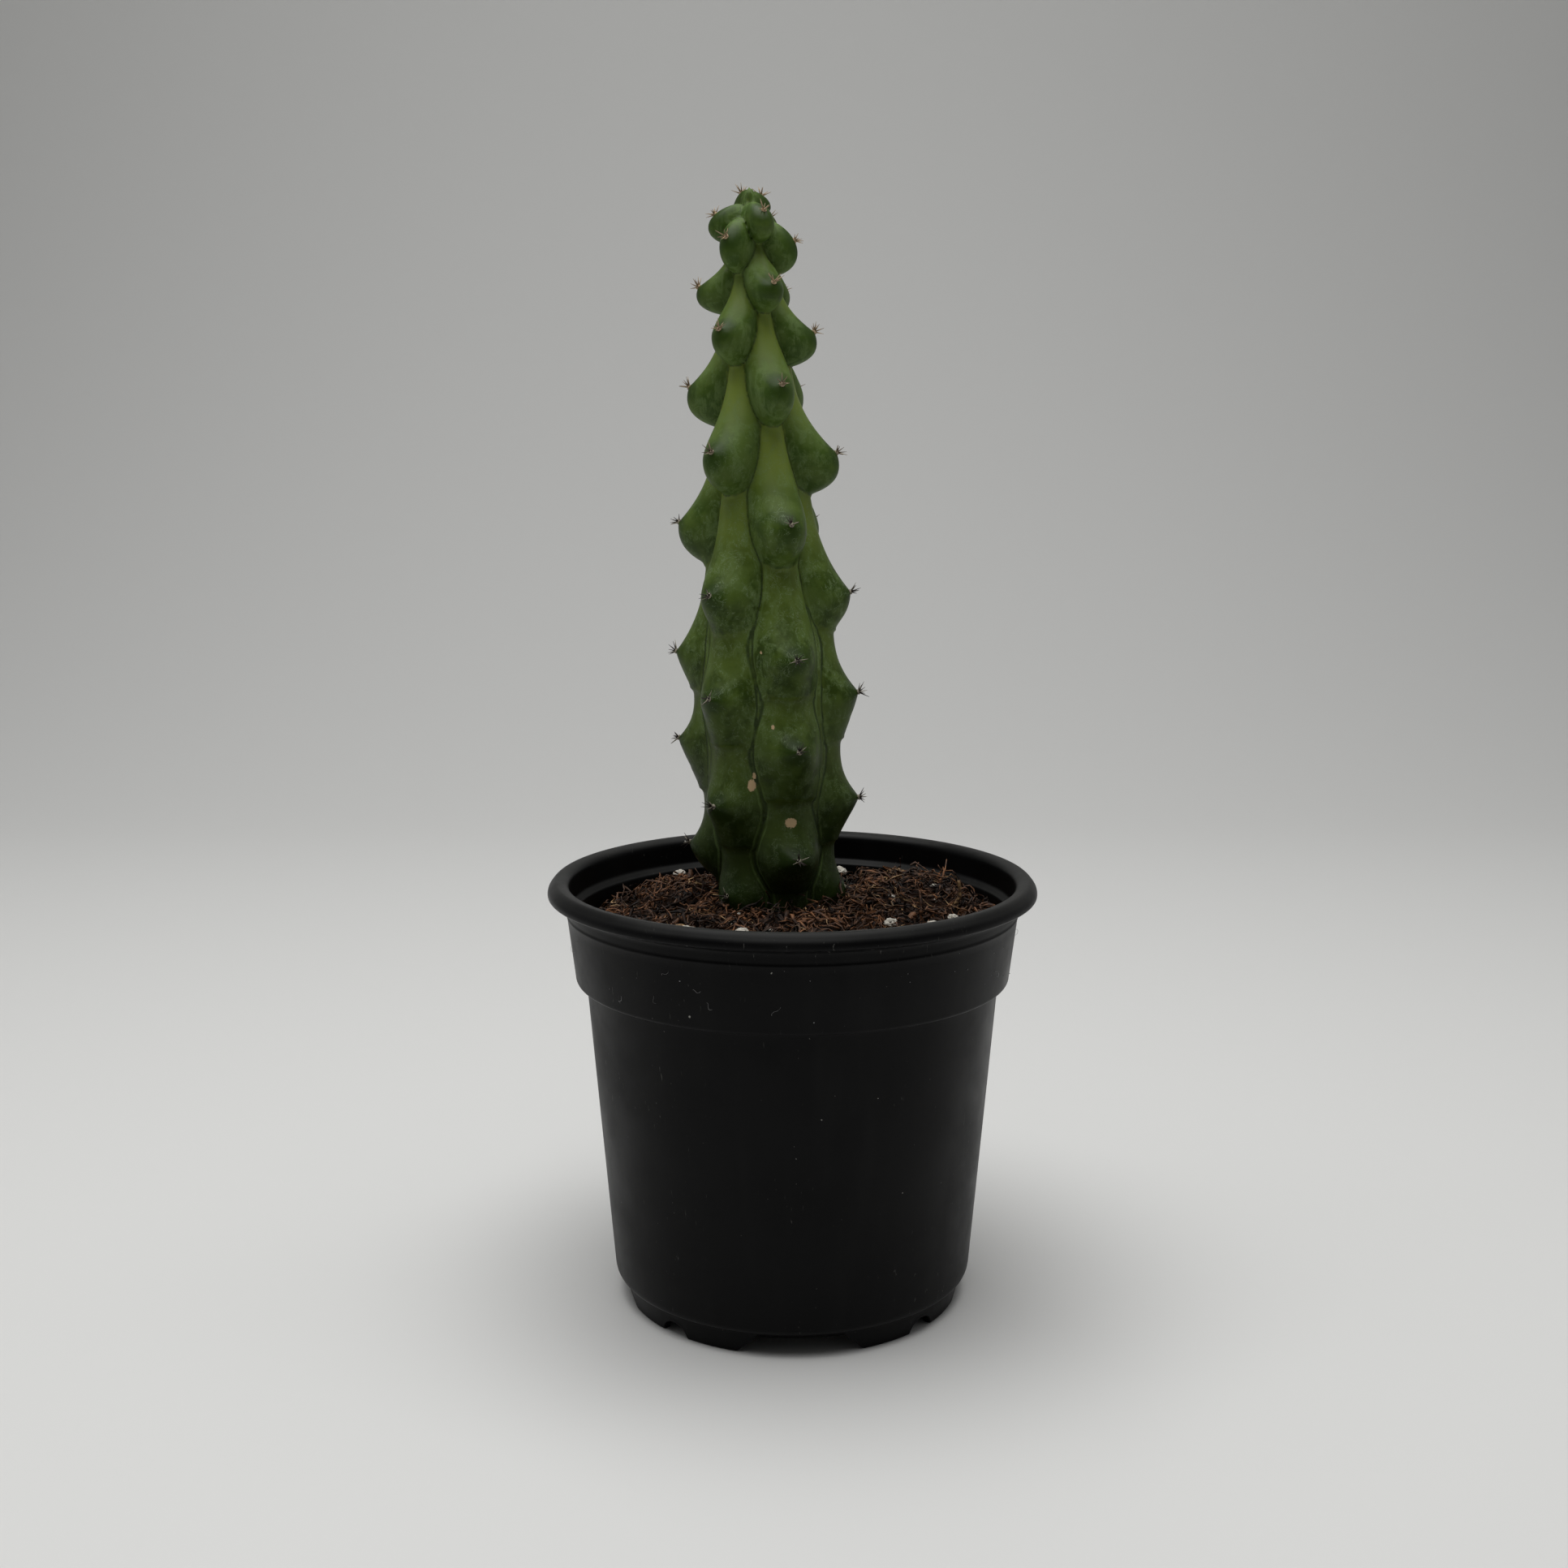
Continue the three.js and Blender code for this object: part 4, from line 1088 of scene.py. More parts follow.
def strand_group():
    """Curled strands lying about on a surface."""
    if "Strands" in bpy.data.node_groups:
        return bpy.data.node_groups["Strands"]
    b = Builder("Strands", [("Density", "NodeSocketFloat", 1e5), ("Length", "NodeSocketFloat", 0.01),
                            ("Thickness", "NodeSocketFloat", 0.0002), ("Bend", "NodeSocketFloat", 0.003),
                            ("Tilt", "NodeSocketFloat", 0.4), ("Crinkle", "NodeSocketFloat", 0.002),
                            ("Reach", "NodeSocketFloat", LITTER_REACH), ("Seed", "NodeSocketInt", 1)])
    given = b.source
    points = b.scattered_points()
    half = b.math("MULTIPLY", given["Length"], 0.5)
    inner = b.math("MULTIPLY", given["Length"], 0.17)
    bend = given["Bend"]
    strand = b.step("GeometryNodeCurvePrimitiveBezierSegment", values={
        "Resolution": 12,
        "Start": b.vector(b.math("MULTIPLY", half, -1.0), 0.0, 0.0),
        "Start Handle": b.vector(b.math("MULTIPLY", inner, -1.0), bend, b.math("MULTIPLY", bend, 0.5)),
        "End Handle": b.vector(inner, b.math("MULTIPLY", bend, -1.0), b.math("MULTIPLY", bend, 0.6)),
        "End": b.vector(half, b.math("MULTIPLY", bend, 0.4), 0.0)})
    factor = b.node("GeometryNodeSplineParameter").outputs["Factor"]
    centred = b.math("MULTIPLY_ADD", factor, 2.0, -1.0)
    taper = b.math("SUBTRACT", 1.0, b.math("MULTIPLY", b.math("MULTIPLY", centred, centred), 0.7))
    shaped = b.step("GeometryNodeSetCurveRadius", values={"Curve": strand.outputs[0], "Radius": taper})
    ring = b.step("GeometryNodeCurvePrimitiveCircle", values={"Resolution": 4, "Radius": given["Thickness"]})
    tube = b.step("GeometryNodeCurveToMesh", values={
        "Curve": shaped.outputs[0], "Profile Curve": ring.outputs[0], "Fill Caps": True})
    lean = b.math("MULTIPLY", given["Tilt"], -1.0)
    most = b.vector(given["Tilt"], given["Tilt"], math.tau)
    turned = b.random(b.vector(lean, lean, 0.0), most, given["Seed"])
    size = b.random((0.45, 0.45, 0.5), (1.25, 1.5, 1.3), b.math("ADD", given["Seed"], 7.0))
    laid = b.step("GeometryNodeInstanceOnPoints", values={
        "Points": points.outputs["Points"], "Instance": tube.outputs[0],
        "Rotation": b.turned(points.outputs["Rotation"], b.rotation(turned)), "Scale": size})
    return b.finish(laid.outputs[0], crumple=(STRAND_RIPPLE, given["Crinkle"]), reach=given["Reach"])


def crumb_group():
    """Angular crumbs lying about on a surface."""
    if "Crumbs" in bpy.data.node_groups:
        return bpy.data.node_groups["Crumbs"]
    b = Builder("Crumbs", [("Density", "NodeSocketFloat", 1e5), ("Size", "NodeSocketFloat", 0.001),
                           ("Flatness", "NodeSocketFloat", 0.6), ("Reach", "NodeSocketFloat", LITTER_REACH),
                           ("Seed", "NodeSocketInt", 1)])
    given = b.source
    points = b.scattered_points()
    grain = b.step("GeometryNodeMeshIcoSphere", values={"Radius": given["Size"], "Subdivisions": 2})
    turned = b.random((-math.pi, -0.5, -math.pi), (math.pi, 0.5, math.pi), given["Seed"])
    size = b.random(b.vector(0.4, 0.3, b.math("MULTIPLY", given["Flatness"], 0.5)),
                    b.vector(1.4, 1.0, given["Flatness"]), b.math("ADD", given["Seed"], 3.0))
    laid = b.step("GeometryNodeInstanceOnPoints", values={
        "Points": points.outputs["Points"], "Instance": grain.outputs["Mesh"],
        "Rotation": b.rotation(turned), "Scale": size})
    return b.finish(laid.outputs[0], smooth=False, crumple=(CRUMB_RIPPLE, given["Size"]),
                    reach=given["Reach"])


def areole_group():
    """On every point, turned the way it faces, a woolly pad with a cluster of short spines."""
    if "Areoles" in bpy.data.node_groups:
        return bpy.data.node_groups["Areoles"]
    b = Builder("Areoles", [("Spines", "NodeSocketInt", 6), ("Spine length", "NodeSocketFloat", 0.002),
                            ("Spine radius", "NodeSocketFloat", 0.0001), ("Splay", "NodeSocketFloat", 1.0),
                            ("Pad radius", "NodeSocketFloat", 0.0008), ("Seed", "NodeSocketInt", 1)])
    given = b.source
    points = b.step("GeometryNodeMeshToPoints", values={"Mesh": given["Geometry"]}).outputs[0]
    facing = b.step("GeometryNodeInputNamedAttribute", data_type="FLOAT_VECTOR", values={"Name": "facing"})
    turned = b.step("FunctionNodeAlignRotationToVector", axis="Z",
                    values={"Vector": facing.outputs[0]}).outputs[0]

    pad = b.step("GeometryNodeMeshIcoSphere", values={"Radius": given["Pad radius"], "Subdivisions": 3})
    flat = b.step("GeometryNodeTransform", values={"Geometry": pad.outputs["Mesh"], "Scale": (1.0, 1.0, 0.6)})
    pads = b.step("GeometryNodeInstanceOnPoints", values={
        "Points": points, "Instance": flat.outputs[0], "Rotation": turned})

    # Each areole point is repeated, once for every spine, and each copy leans its own way.
    copies = b.step("GeometryNodeDuplicateElements", domain="POINT",
                    values={"Geometry": points, "Amount": given["Spines"]})
    kept_turn = b.step("GeometryNodeStoreNamedAttribute", data_type="FLOAT", domain="POINT", values={
        "Geometry": copies.outputs["Geometry"], "Name": "spine", "Value": copies.outputs["Duplicate Index"]})
    which = b.step("GeometryNodeInputNamedAttribute", data_type="FLOAT", values={"Name": "spine"}).outputs[0]
    around = b.math("DIVIDE", b.math("MULTIPLY", which, math.tau), given["Spines"])
    around = b.math("ADD", around, b.random(0.0, 1.2, given["Seed"], "FLOAT"))
    lean = b.math("MULTIPLY", given["Splay"], b.random(0.45, 1.1, b.math("ADD", given["Seed"], 5.0), "FLOAT"))
    fan = b.rotation(b.vector(0.0, lean, around))
    way = b.turned(turned, fan)
    spine = b.step("GeometryNodeMeshCone", values={
        "Vertices": 7, "Radius Top": SPINE_TIP_RADIUS, "Radius Bottom": given["Spine radius"],
        "Depth": given["Spine length"]})
    length = b.random(0.6, 1.1, b.math("ADD", given["Seed"], 9.0), "FLOAT")
    spines = b.step("GeometryNodeInstanceOnPoints", values={
        "Points": kept_turn.outputs["Geometry"], "Instance": spine.outputs["Mesh"], "Rotation": way,
        "Scale": b.vector(1.0, 1.0, length)})
    both = b.node("GeometryNodeJoinGeometry")
    b.tree.links.new(pads.outputs[0], both.inputs[0])
    b.tree.links.new(spines.outputs[0], both.inputs[0])
    return b.finish(both.outputs[0])


def grown(piece, group, material, **values):
    """Runs a geometry group on the piece with the given inputs and keeps the result as plain mesh."""
    modifier = piece.modifiers.new(group.name, "NODES")
    modifier.node_group = group
    given = {**{name.replace("_", " "): value for name, value in values.items()}, "Material": material}
    for socket in group.interface.items_tree:
        if socket.item_type == "SOCKET" and socket.in_out == "INPUT" and socket.name in given:
            modifier[socket.identifier] = given[socket.name]
    return baked(piece)


# ---------------------------------------------------------------- areoles

SEARCH_MARGIN = 2
SEARCH_STEP = 0.05
FACING_STEP = 0.4


def all_areoles():
    """Every areole, as its rib and its height."""
    return [(rib, height) for rib in range(len(RIB_AZIMUTHS)) for height in areole_heights(rib)]


def areole_place(rib, height):
    """Where one areole sits on the crest of its rib, in millimetres, and which way it faces."""
    turn = math.radians(rib_azimuth(rib, height))
    out = np.array([math.sin(turn), -math.cos(turn), 0.0])
    base = np.array([stem_axis_x(height), 0.0, height])
    reaches = np.arange(0, read(TIP_REACH, height) + SEARCH_MARGIN, SEARCH_STEP)
    points = base + reaches[:, None] * out
    value, _ = stem_field(points)
    reach = reaches[np.flatnonzero(value < 0)[-1]]
    place = base + reach * out
    slope = np.array([stem_field((place + step)[None])[0][0] - stem_field((place - step)[None])[0][0]
                      for step in FACING_STEP * np.eye(3)])
    return place, slope / np.linalg.norm(slope)


def spine_material(settings):
    material, w, shader = new_material("Areole wool and spines", Roughness=0.65)
    place = w.place()
    young = w.between(w.split(place)["Z"], 165, 236)
    shade = w.noise(place, 1.8, 3)
    wool = w.blend(young, rgba(settings.old), rgba(settings.young))
    wool = w.blend(w.between(shade, 0.45, 0.75, 0.0, 0.7), wool, rgba(settings.dark))
    wood = w.blend(w.math("MULTIPLY", young, 0.6), rgba(settings.dark), rgba(settings.young))
    # The pad and every fourth spine are the colour of wool, the other spines are dark wood.
    is_dark = w.between(w.math("MODULO", w.attribute("spine"), 4.0), 0.2, 0.8)
    colour = w.blend(is_dark, wool, wood)
    w.feed(shader.inputs["Base Color"], colour)
    w.feed(shader.inputs["Normal"], w.bump(w.noise(place, 4.5, 3), 0.8, 0.00012))
    return material


class CACTUS_OT_areoles(bpy.types.Operator):
    """Sets a woolly pad and its short spines on every tubercle, one piece for each rib"""

    bl_idname = "cactus.areoles"
    bl_label = "Areoles and spines"

    def execute(self, context):
        settings = context.scene.cactus_areoles
        material = spine_material(settings)
        for rib in range(len(RIB_AZIMUTHS)):
            heights = areole_heights(rib)
            places, facings = zip(*(areole_place(rib, height) for height in heights))
            piece = new_mesh_object(f"areoles_rib_{rib + 1}", np.array(places) * MM, [])
            facing = piece.data.attributes.new("facing", "FLOAT_VECTOR", "POINT")
            facing.data.foreach_set("vector", np.array(facings, dtype=np.float32).ravel())
            grown(piece, areole_group(), material, Spines=settings.spines,
                  Spine_length=settings.spine_length, Spine_radius=settings.spine_radius,
                  Splay=settings.splay, Pad_radius=settings.pad_radius, Seed=settings.seed + rib)
            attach(piece, BODY)
            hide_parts(*(f"areole_{rib + 1}_{i + 1}" for i in range(len(heights))))
        return {"FINISHED"}


# ---------------------------------------------------------------- potting mix

MIX_LEVEL = 89
MIX_TURN_DOWN = 5
MIX_TURN_DOWN_SHARPNESS = 5
MIX_SETTLED = 1
MIX_EDGE_GAP = 0.4
MIX_TOP_INSET = 0.9
MIX_ROWS = 90
MIX_COLUMNS = 320
MOUNDS = ((-4, 0, 3.4, 24), (30, 9, 4.6, 13), (-24, 10, 2.4, 12), (-2, -32, 2.2, 17), (-2, 42, -3, 18))
LUMPS = ((10, 1.9), (4, 1.1), (1.4, 0.45))
MIX_LUMP_LIMIT = MIX_LEVEL + 5.6
LITTER_CLEAR_ROWS = 4
BARE_MARGIN = 2.2

# Loose pieces, by the name of the node that each replaces.
PERLITE_NODES = tuple(f"perlite_{i}" for i in range(1, 8))
CHIP_NODES = ("bark_chip_1", "bark_chip_2")
SEAT_SLOPE = 0.7
SEAT_DEPTH = 0.3


def seats():
    """Where each loose piece lies: its middle, how wide it is and how high the mix comes under it."""
    places = []
    for node in (*PERLITE_NODES, *CHIP_NODES):
        low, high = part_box(node)
        middle = (low + high) / 2 / MM
        places.append((middle, max(high.x - low.x, high.y - low.y) / 2 / MM, low.z / MM + SEAT_DEPTH))
    return places


SEATS = seats()


def mix_edge():
    """How far out the top of the mix reaches."""
    return COLLAR_TOP_RADIUS - POT_WALL - MIX_TOP_INSET - MIX_EDGE_GAP


def mix_height(x, y):
    """The top of the potting mix at one place: mounds, hollows and lumps, turned down at the wall."""
    outward = math.hypot(x, y) / mix_edge()
    level = MIX_LEVEL - MIX_SETTLED - MIX_TURN_DOWN * outward ** MIX_TURN_DOWN_SHARPNESS
    for at_x, at_y, rise, spread in MOUNDS:
        level += rise * math.exp(-((x - at_x) ** 2 + (y - at_y) ** 2) / spread ** 2)
    for width, rise in LUMPS:
        level += rise * noise.noise(Vector((x, y, width)) / width)
    for seat, reach, height in SEATS:
        outside = math.hypot(x - seat.x, y - seat.y) - reach
        level = min(level, height + max(0, outside) * SEAT_SLOPE)
    return level


def bareness(x, y):
    """One where a loose piece lies on the mix, nothing away from it."""
    outside = min(math.hypot(x - seat.x, y - seat.y) - reach for seat, reach, _ in SEATS)
    return min(1, max(0, 1 - outside / BARE_MARGIN))


def mix_section():
    """The mix's outline below its top, down the inside of the pot to the middle of the floor."""
    gap = POT_WALL + MIX_EDGE_GAP
    floor = FLOOR_UNDERSIDE + gap
    return [(mix_edge() - 0.7, MIX_LEVEL - 8), (COLLAR_BOTTOM_RADIUS - gap, COLLAR_BOTTOM + POT_WALL + 1),
            (BODY_TOP_RADIUS - gap, COLLAR_BOTTOM - MIX_EDGE_GAP), (BODY_BOTTOM_RADIUS - gap, floor + 2),
            (BODY_BOTTOM_RADIUS - gap - 2, floor), (0, floor)]


def mix_top_rings():
    """Rings of points over the top of the mix, from the middle outwards."""
    rings = []
    for row in range(1, MIX_ROWS + 1):
        reach = mix_edge() * row / MIX_ROWS
        ring = []
        for column in range(MIX_COLUMNS):
            turn = math.tau * column / MIX_COLUMNS
            x, y = reach * math.sin(turn), -reach * math.cos(turn)
            ring.append((x, y, min(mix_height(x, y), MIX_LUMP_LIMIT)))
        rings.append(ring)
    return rings


def ringed_faces(rings, columns):
    """Faces of rings of vertices that start after vertex 0, with a fan around vertex 0."""
    faces = [(0, 1 + column, 1 + (column + 1) % columns) for column in range(columns)]
    for ring in range(rings - 1):
        for column in range(columns):
            a, b = 1 + ring * columns + column, 1 + ring * columns + (column + 1) % columns
            faces.append((a, a + columns, b + columns, b))
    return faces


def earth_material(settings):
    material, w, shader = new_material("Potting mix", Roughness=0.95, Specular_IOR_Level=0.2)
    place = w.place()
    clods = w.noise(place, 0.5, 6, 0.7)
    grains = w.noise(place, 2.2, 5, 0.7)
    # The peat colour here is partly painted shade for the dark gaps under the fibres.
    colour = w.blend(w.between(clods, 0.35, 0.65), rgba(settings.peat), rgba(settings.coir))
    colour = w.blend(w.between(grains, 0.62, 0.75), colour, rgba(settings.pale_coir))
    w.feed(shader.inputs["Base Color"], colour)
    relief = w.math("ADD", clods, w.math("MULTIPLY", grains, 0.5))
    w.feed(shader.inputs["Normal"], w.bump(relief, 1.0, 0.0012))
    return material


def fibre_material(name, light, dark, gloss):
    """Strands whose colour drifts between two shades from place to place."""
    material, w, shader = new_material(name, Roughness=gloss, Specular_IOR_Level=0.35)
    place = w.place()
    drift = w.noise(place, 0.45, 3, 0.6)
    fleck = w.noise(place, 3.0, 2)
    colour = w.blend(w.between(drift, 0.36, 0.62), rgba(dark), rgba(light))
    colour = w.blend(w.between(fleck, 0.55, 0.8, 0.0, 0.6), colour, rgba(dark))
    # Patches of painted shade darken the strands in clumps, as the shadows among the fibres.
    clump_shade = w.noise(place, 0.14, 4, 0.6)
    colour = w.blend(1.0, colour, w.grey(w.between(clump_shade, 0.4, 0.6, 0.28, 1.15)), "MULTIPLY")
    w.feed(shader.inputs["Base Color"], colour)
    w.feed(shader.inputs["Normal"], w.bump(fleck, 0.4, 0.0001))
    return material


def perlite_material():
    material, w, shader = new_material("Perlite", Roughness=0.9, Specular_IOR_Level=0.2)
    place = w.place()
    pits = w.noise(place, 2.6, 5, 0.7)
    colour = w.blend(w.between(pits, 0.3, 0.6), (0.22, 0.19, 0.14, 1), (0.66, 0.63, 0.56, 1))
    w.feed(shader.inputs["Base Color"], colour)
    w.feed(shader.inputs["Normal"], w.bump(pits, 0.9, 0.0003))
    return material


def bark_material():
    material, w, shader = new_material("Bark chips and twig", Roughness=0.8)
    grain = w.noise(w.place((1, 0.25, 1)), 1.6, 5, 0.65)
    colour = w.blend(w.between(grain, 0.4, 0.7), (0.07, 0.034, 0.014, 1), (0.4, 0.25, 0.11, 1))
    w.feed(shader.inputs["Base Color"], colour)
    w.feed(shader.inputs["Normal"], w.bump(grain, 0.7, 0.0003))
    return material


class CACTUS_OT_mix(bpy.types.Operator):
    """Fills the pot with its lumpy potting mix"""

    bl_idname = "cactus.mix"
    bl_label = "Potting mix"

    def execute(self, context):
        rings = mix_top_rings()
        *sides, bottom = mix_section()
        turns = [math.tau * column / MIX_COLUMNS for column in range(MIX_COLUMNS)]
        for radius, height in sides:
            rings.append([(radius * math.sin(turn), -radius * math.cos(turn), height) for turn in turns])
        vertices = [(0, 0, mix_height(0, 0)), *(point for ring in rings for point in ring), (0, 0, bottom[1])]
        faces = ringed_faces(len(rings), MIX_COLUMNS)
        last_ring = 1 + (len(rings) - 1) * MIX_COLUMNS
        for column in range(MIX_COLUMNS):
            faces.append((last_ring + column, len(vertices) - 1, last_ring + (column + 1) % MIX_COLUMNS))
        mix = new_mesh_object("potting_mix_fill", np.array(vertices) * MM, faces)
        mix.data.materials.append(earth_material(context.scene.cactus_mix))
        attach(mix, BODY)
        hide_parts("potting_mix")
        return {"FINISHED"}


class CACTUS_OT_litter(bpy.types.Operator):
    """Scatters coir fibres, peat crumbs and small perlite over the mix"""

    bl_idname = "cactus.litter"
    bl_label = "Fibres and crumbs"

    def execute(self, context):
        settings = context.scene.cactus_mix
        red = fibre_material("Coir", settings.pale_coir, settings.coir, 0.6)
        brown = fibre_material("Peat fibre", settings.coir, settings.peat, 0.75)
        straw = fibre_material("Straw", settings.straw, settings.pale_coir, 0.55)
        rings = mix_top_rings()[:-LITTER_CLEAR_ROWS]
        ground = [(0, 0, mix_height(0, 0)), *(point for ring in rings for point in ring)]
        faces = ringed_faces(len(rings), MIX_COLUMNS)
        bareness_here = [bareness(x, y) for x, y, _ in ground]
        # Each layer is a name, density, length, thickness, bend, tilt and crinkle of its strands.
        strands = (
            ("peat_fibres", brown, 1.1e5, 0.009, 0.00019, 0.0025, 0.5, 0.005),
            ("coir_fibres", red, 1.15e5, 0.013, 0.00013, 0.006, 0.45, 0.008),
            ("coir_shreds", red, 2.4e4, 0.008, 0.0004, 0.0015, 0.5, 0.005),
            ("straw_fibres", straw, 1.8e4, 0.01, 0.00012, 0.005, 0.5, 0.004),
            ("wood_slivers", straw, 3e3, 0.009, 0.00045, 0.0008, 0.35, 0.002),
        )
        layers = [(name, strand_group(), material, "potting_mix",
                   dict(Density=density, Length=length, Thickness=thickness, Bend=bend, Tilt=tilt,
                        Crinkle=crinkle))
                  for name, material, density, length, thickness, bend, tilt, crinkle in strands]
        layers.append(("peat_crumbs", crumb_group(), brown, "potting_mix",
                       dict(Density=1.6e5, Size=0.0009, Flatness=0.8)))
        layers.append(("small_perlite", crumb_group(), perlite_material(), "perlite",
                       dict(Density=9e3, Size=0.0011, Flatness=0.9)))
        for seed, (name, group, material, slot, values) in enumerate(layers, start=settings.seed):
            values["Density"] *= settings.litter
            piece = new_mesh_object(name, np.array(ground) * MM, faces)
            bare = piece.data.attributes.new("bare", "FLOAT", "POINT")
            bare.data.foreach_set("value", bareness_here)
            grown(piece, group, material, Seed=seed, **values)
            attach(piece, BODY)
        return {"FINISHED"}


LUMP_SWELL = 1.3
LUMP_LIFT = 0.0005
LUMP_CORE = 0.93
LUMP_GRAIN = 1.4
LUMP_SPREAD = 900
PIT_DEPTH = 0.3
PIT_SHARE = 0.1
TWIG_ROWS = 14
TWIG_SIDES = 8
TWIG_RADIUS = 0.00055
TWIG_TAPER = 0.35
TWIG_BOW = 0.0005
TWIG_INSETS = (0.0004, 0.0003)


def crumpled_lump(name, node, roughness, jagged):
    """A pitted lump in the place of a node, a little larger so that it shows among the fibres."""
    low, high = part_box(node)
    half = (high - low) / 2 * LUMP_SWELL
    centre = (low + high) / 2 + Vector((0, 0, LUMP_LIFT))
    work = bmesh.new()
    bmesh.ops.create_icosphere(work, subdivisions=4, radius=1)
    for vertex in work.verts:
        way = vertex.co.normalized()
        seat = way * LUMP_GRAIN + centre * LUMP_SPREAD
        push = roughness * noise.noise(seat * 1.1) + jagged * noise.noise(seat * 3.1)
        pit = -PIT_DEPTH * max(0, noise.noise(seat * 2.3) - PIT_SHARE)
        vertex.co = centre + Vector(w * h for w, h in zip(way * (LUMP_CORE + push + pit), half))
    mesh = bpy.data.meshes.new(name)
    work.to_mesh(mesh)
    work.free()
    mesh.shade_smooth()
    lump = bpy.data.objects.new(name, mesh)
    bpy.context.scene.collection.objects.link(lump)
    return lump


def twig():
    """The small twig that stands up out of the mix, leaning and a little bowed."""
    low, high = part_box("twig")
    foot = Vector((low.x + TWIG_INSETS[0], (low.y + high.y) / 2, low.z))
    tip = Vector((high.x - TWIG_INSETS[1], (low.y + high.y) / 2, high.z))
    vertices, faces = [], []
    for row in range(TWIG_ROWS):
        share = row / (TWIG_ROWS - 1)
        middle = foot.lerp(tip, share) + Vector((TWIG_BOW * math.sin(share * 4), 0, 0))
        radius = TWIG_RADIUS * (1 - TWIG_TAPER * share)
        for side in range(TWIG_SIDES):
            turn = math.tau * side / TWIG_SIDES
            rough = 1 + 0.2 * noise.noise(Vector((turn, share * 9, 1)))
            vertices.append(middle + Vector((math.cos(turn), math.sin(turn), 0)) * radius * rough)
            if row:
                a, b = (row - 1) * TWIG_SIDES + side, (row - 1) * TWIG_SIDES + (side + 1) % TWIG_SIDES
                faces.append((a, b, b + TWIG_SIDES, a + TWIG_SIDES))
    faces.append(tuple(reversed(range(TWIG_SIDES))))
    faces.append(tuple(range((TWIG_ROWS - 1) * TWIG_SIDES, TWIG_ROWS * TWIG_SIDES)))
    return new_mesh_object("upright_twig", vertices, faces)


class CACTUS_OT_loose(bpy.types.Operator):
    """Lays the larger perlite grains, bark chips and the upright twig on the mix"""

    bl_idname = "cactus.loose"
    bl_label = "Perlite, bark and twig"

    def execute(self, context):
        perlite = bpy.data.materials.get("Perlite") or perlite_material()
        bark = bark_material()
        for node in PERLITE_NODES:
            self.settle(crumpled_lump(f"grain_{node}", node, 0.34, 0.14), node, perlite, "perlite")
        for node in CHIP_NODES:
            self.settle(crumpled_lump(f"flake_{node}", node, 0.2, 0.12), node, bark, "bark")
        self.settle(twig(), "twig", bark, "bark")
        return {"FINISHED"}

    def settle(self, piece, node, material, slot):
        piece.data.materials.append(material)
        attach(piece, BODY)
        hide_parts(node)


# ---------------------------------------------------------------- stage

CAMERA_DISTANCE = 0.4124
CAMERA_HEIGHT = 0.1883
CAMERA_SIDE = -0.00188
CAMERA_PITCH = 9.69
CAMERA_LENS = 42.86
ROOM_DARK = 0.06
ROOM_BRIGHT = 0.34
CAMERA_SENSOR = 36
CAMERA_NEAR = 0.01
ROOM_DARK_SIDE = (-0.75, 0.1)
ROOM_SEEN = 0.5
LAMP_PLACE = (-0.05, -0.05, 0.95)
LAMP_TARGET = (0, 0.02, 0.1)
LAMP_SIZE = 0.9
LAMP_POWER = 8.6
FLOOR_FRONT = -2.4
FLOOR_BACK = 0.55
FLOOR_HALF_WIDTH = 1.8
WALL_BEND = 0.5
WALL_BEND_STEPS = 24
WALL_HEIGHT = 1.6


def paper_sweep():
    """A pale floor that curves up into a wall behind."""
    outline = [(FLOOR_FRONT, 0.0), (FLOOR_BACK, 0.0)]
    for i in range(1, WALL_BEND_STEPS + 1):
        turn = math.radians(90 * i / WALL_BEND_STEPS)
        outline.append((FLOOR_BACK + WALL_BEND * math.sin(turn), WALL_BEND * (1 - math.cos(turn))))
    outline.append((FLOOR_BACK + WALL_BEND, WALL_BEND + WALL_HEIGHT))
    vertices = [(side * FLOOR_HALF_WIDTH, y, z) for y, z in outline for side in (-1, 1)]
    faces = [(2 * i, 2 * i + 1, 2 * i + 3, 2 * i + 2) for i in range(len(outline) - 1)]
    sweep = new_mesh_object("paper_sweep", vertices, faces)
    material, _, shader = new_material("Pale paper", Roughness=0.85)
    shader.inputs["Base Color"].default_value = (0.72, 0.72, 0.705, 1)
    sweep.data.materials.append(material)
    return sweep


def softbox():
    """A large square lamp hung over the plant."""
    data = bpy.data.lights.new("overhead_softbox", "AREA")
    data.shape = "SQUARE"
    data.size = LAMP_SIZE
    data.energy = LAMP_POWER
    lamp = bpy.data.objects.new("overhead_softbox", data)
    lamp.location = LAMP_PLACE
    lamp.rotation_euler = (Vector(LAMP_TARGET) - Vector(LAMP_PLACE)).to_track_quat("-Z", "Y").to_euler()
    bpy.context.scene.collection.objects.link(lamp)
    return lamp


def room_light():
    """A soft white room that is dark behind the camera, and pale where it is seen past the paper."""
    world = bpy.data.worlds.new("Soft room")
    world.use_nodes = True
    w = Wiring(world.node_tree)
    direction = w.node("ShaderNodeTexCoord")
    behind = w.between(w.split(direction.outputs["Generated"])["Y"], *ROOM_DARK_SIDE, ROOM_DARK, ROOM_BRIGHT)
    seen = w.math("MULTIPLY", w.node("ShaderNodeLightPath").outputs["Is Camera Ray"], ROOM_SEEN)
    background = world.node_tree.nodes["Background"]
    w.feed(background.inputs["Strength"], w.math("MAXIMUM", behind, seen))
    background.inputs["Color"].default_value = (1, 1, 1, 1)
    return world


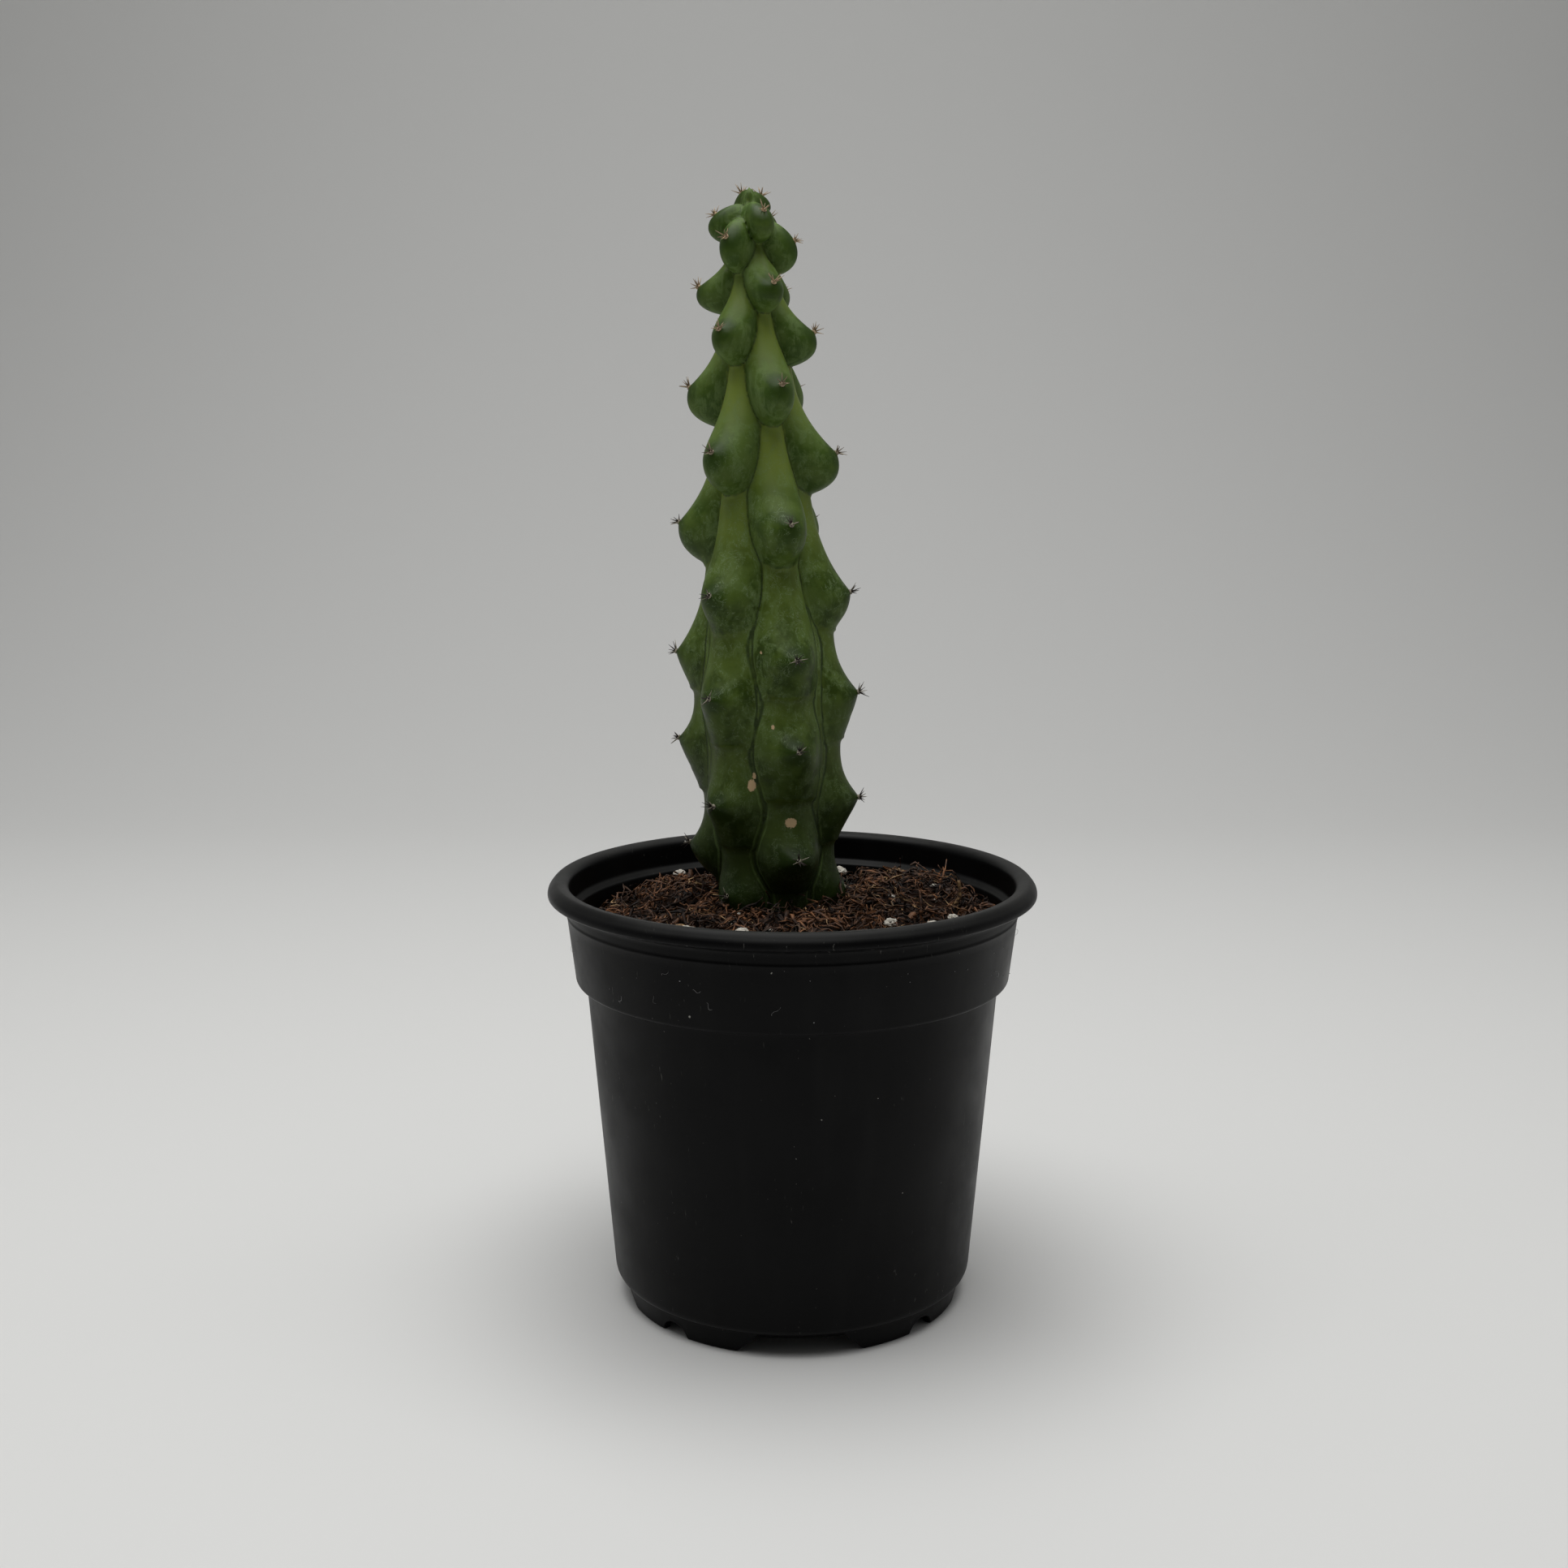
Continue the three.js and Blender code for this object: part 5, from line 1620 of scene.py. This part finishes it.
class CACTUS_OT_stage(bpy.types.Operator):
    """Sets up the pale floor, the soft light and the camera"""

    bl_idname = "cactus.stage"
    bl_label = "Stage, light and camera"

    def execute(self, context):
        scene = context.scene
        paper_sweep()
        softbox()
        scene.world = room_light()
        data = bpy.data.cameras.new("camera")
        data.sensor_width = CAMERA_SENSOR
        data.lens = CAMERA_LENS
        data.clip_start = CAMERA_NEAR
        camera = bpy.data.objects.new("camera", data)
        camera.location = (CAMERA_SIDE, -CAMERA_DISTANCE, CAMERA_HEIGHT)
        camera.rotation_euler = (math.radians(90 - CAMERA_PITCH), 0, 0)
        scene.collection.objects.link(camera)
        scene.camera = camera
        scene.view_settings.view_transform = "Standard"
        return {"FINISHED"}


# ---------------------------------------------------------------- panel and registration


class CACTUS_PT_panel(bpy.types.Panel):
    """Lists the steps that build the plant"""

    bl_idname = "CACTUS_PT_panel"
    bl_label = "Potted cactus"
    bl_space_type = "VIEW_3D"
    bl_region_type = "UI"
    bl_category = "Cactus"

    def draw(self, context):
        for group in SETTINGS:
            settings = getattr(context.scene, group)
            box = self.layout.box()
            for name in settings.__annotations__:
                box.prop(settings, name)
        for step in STEPS:
            self.layout.operator(step.bl_idname)


STEPS = (CACTUS_OT_stage, CACTUS_OT_pot, CACTUS_OT_lint, CACTUS_OT_stem, CACTUS_OT_areoles, CACTUS_OT_mix,
         CACTUS_OT_litter, CACTUS_OT_loose)
SETTINGS = {"cactus_pot": CactusPotSettings, "cactus_stem": CactusStemSettings,
            "cactus_areoles": CactusAreoleSettings, "cactus_mix": CactusMixSettings}
CLASSES = (*SETTINGS.values(), *STEPS, CACTUS_PT_panel)


def register():
    for item in CLASSES:
        bpy.utils.register_class(item)
    for name, settings in SETTINGS.items():
        setattr(bpy.types.Scene, name, PointerProperty(type=settings))


def unregister():
    for name in SETTINGS:
        delattr(bpy.types.Scene, name)
    for item in reversed(CLASSES):
        bpy.utils.unregister_class(item)


def run_step(step):
    """Calls an operator by its identifier."""
    area, name = step.bl_idname.split(".")
    getattr(getattr(bpy.ops, area), name)()


def main():
    register()
    for step in STEPS:
        run_step(step)


if __name__ == "__main__":
    main()
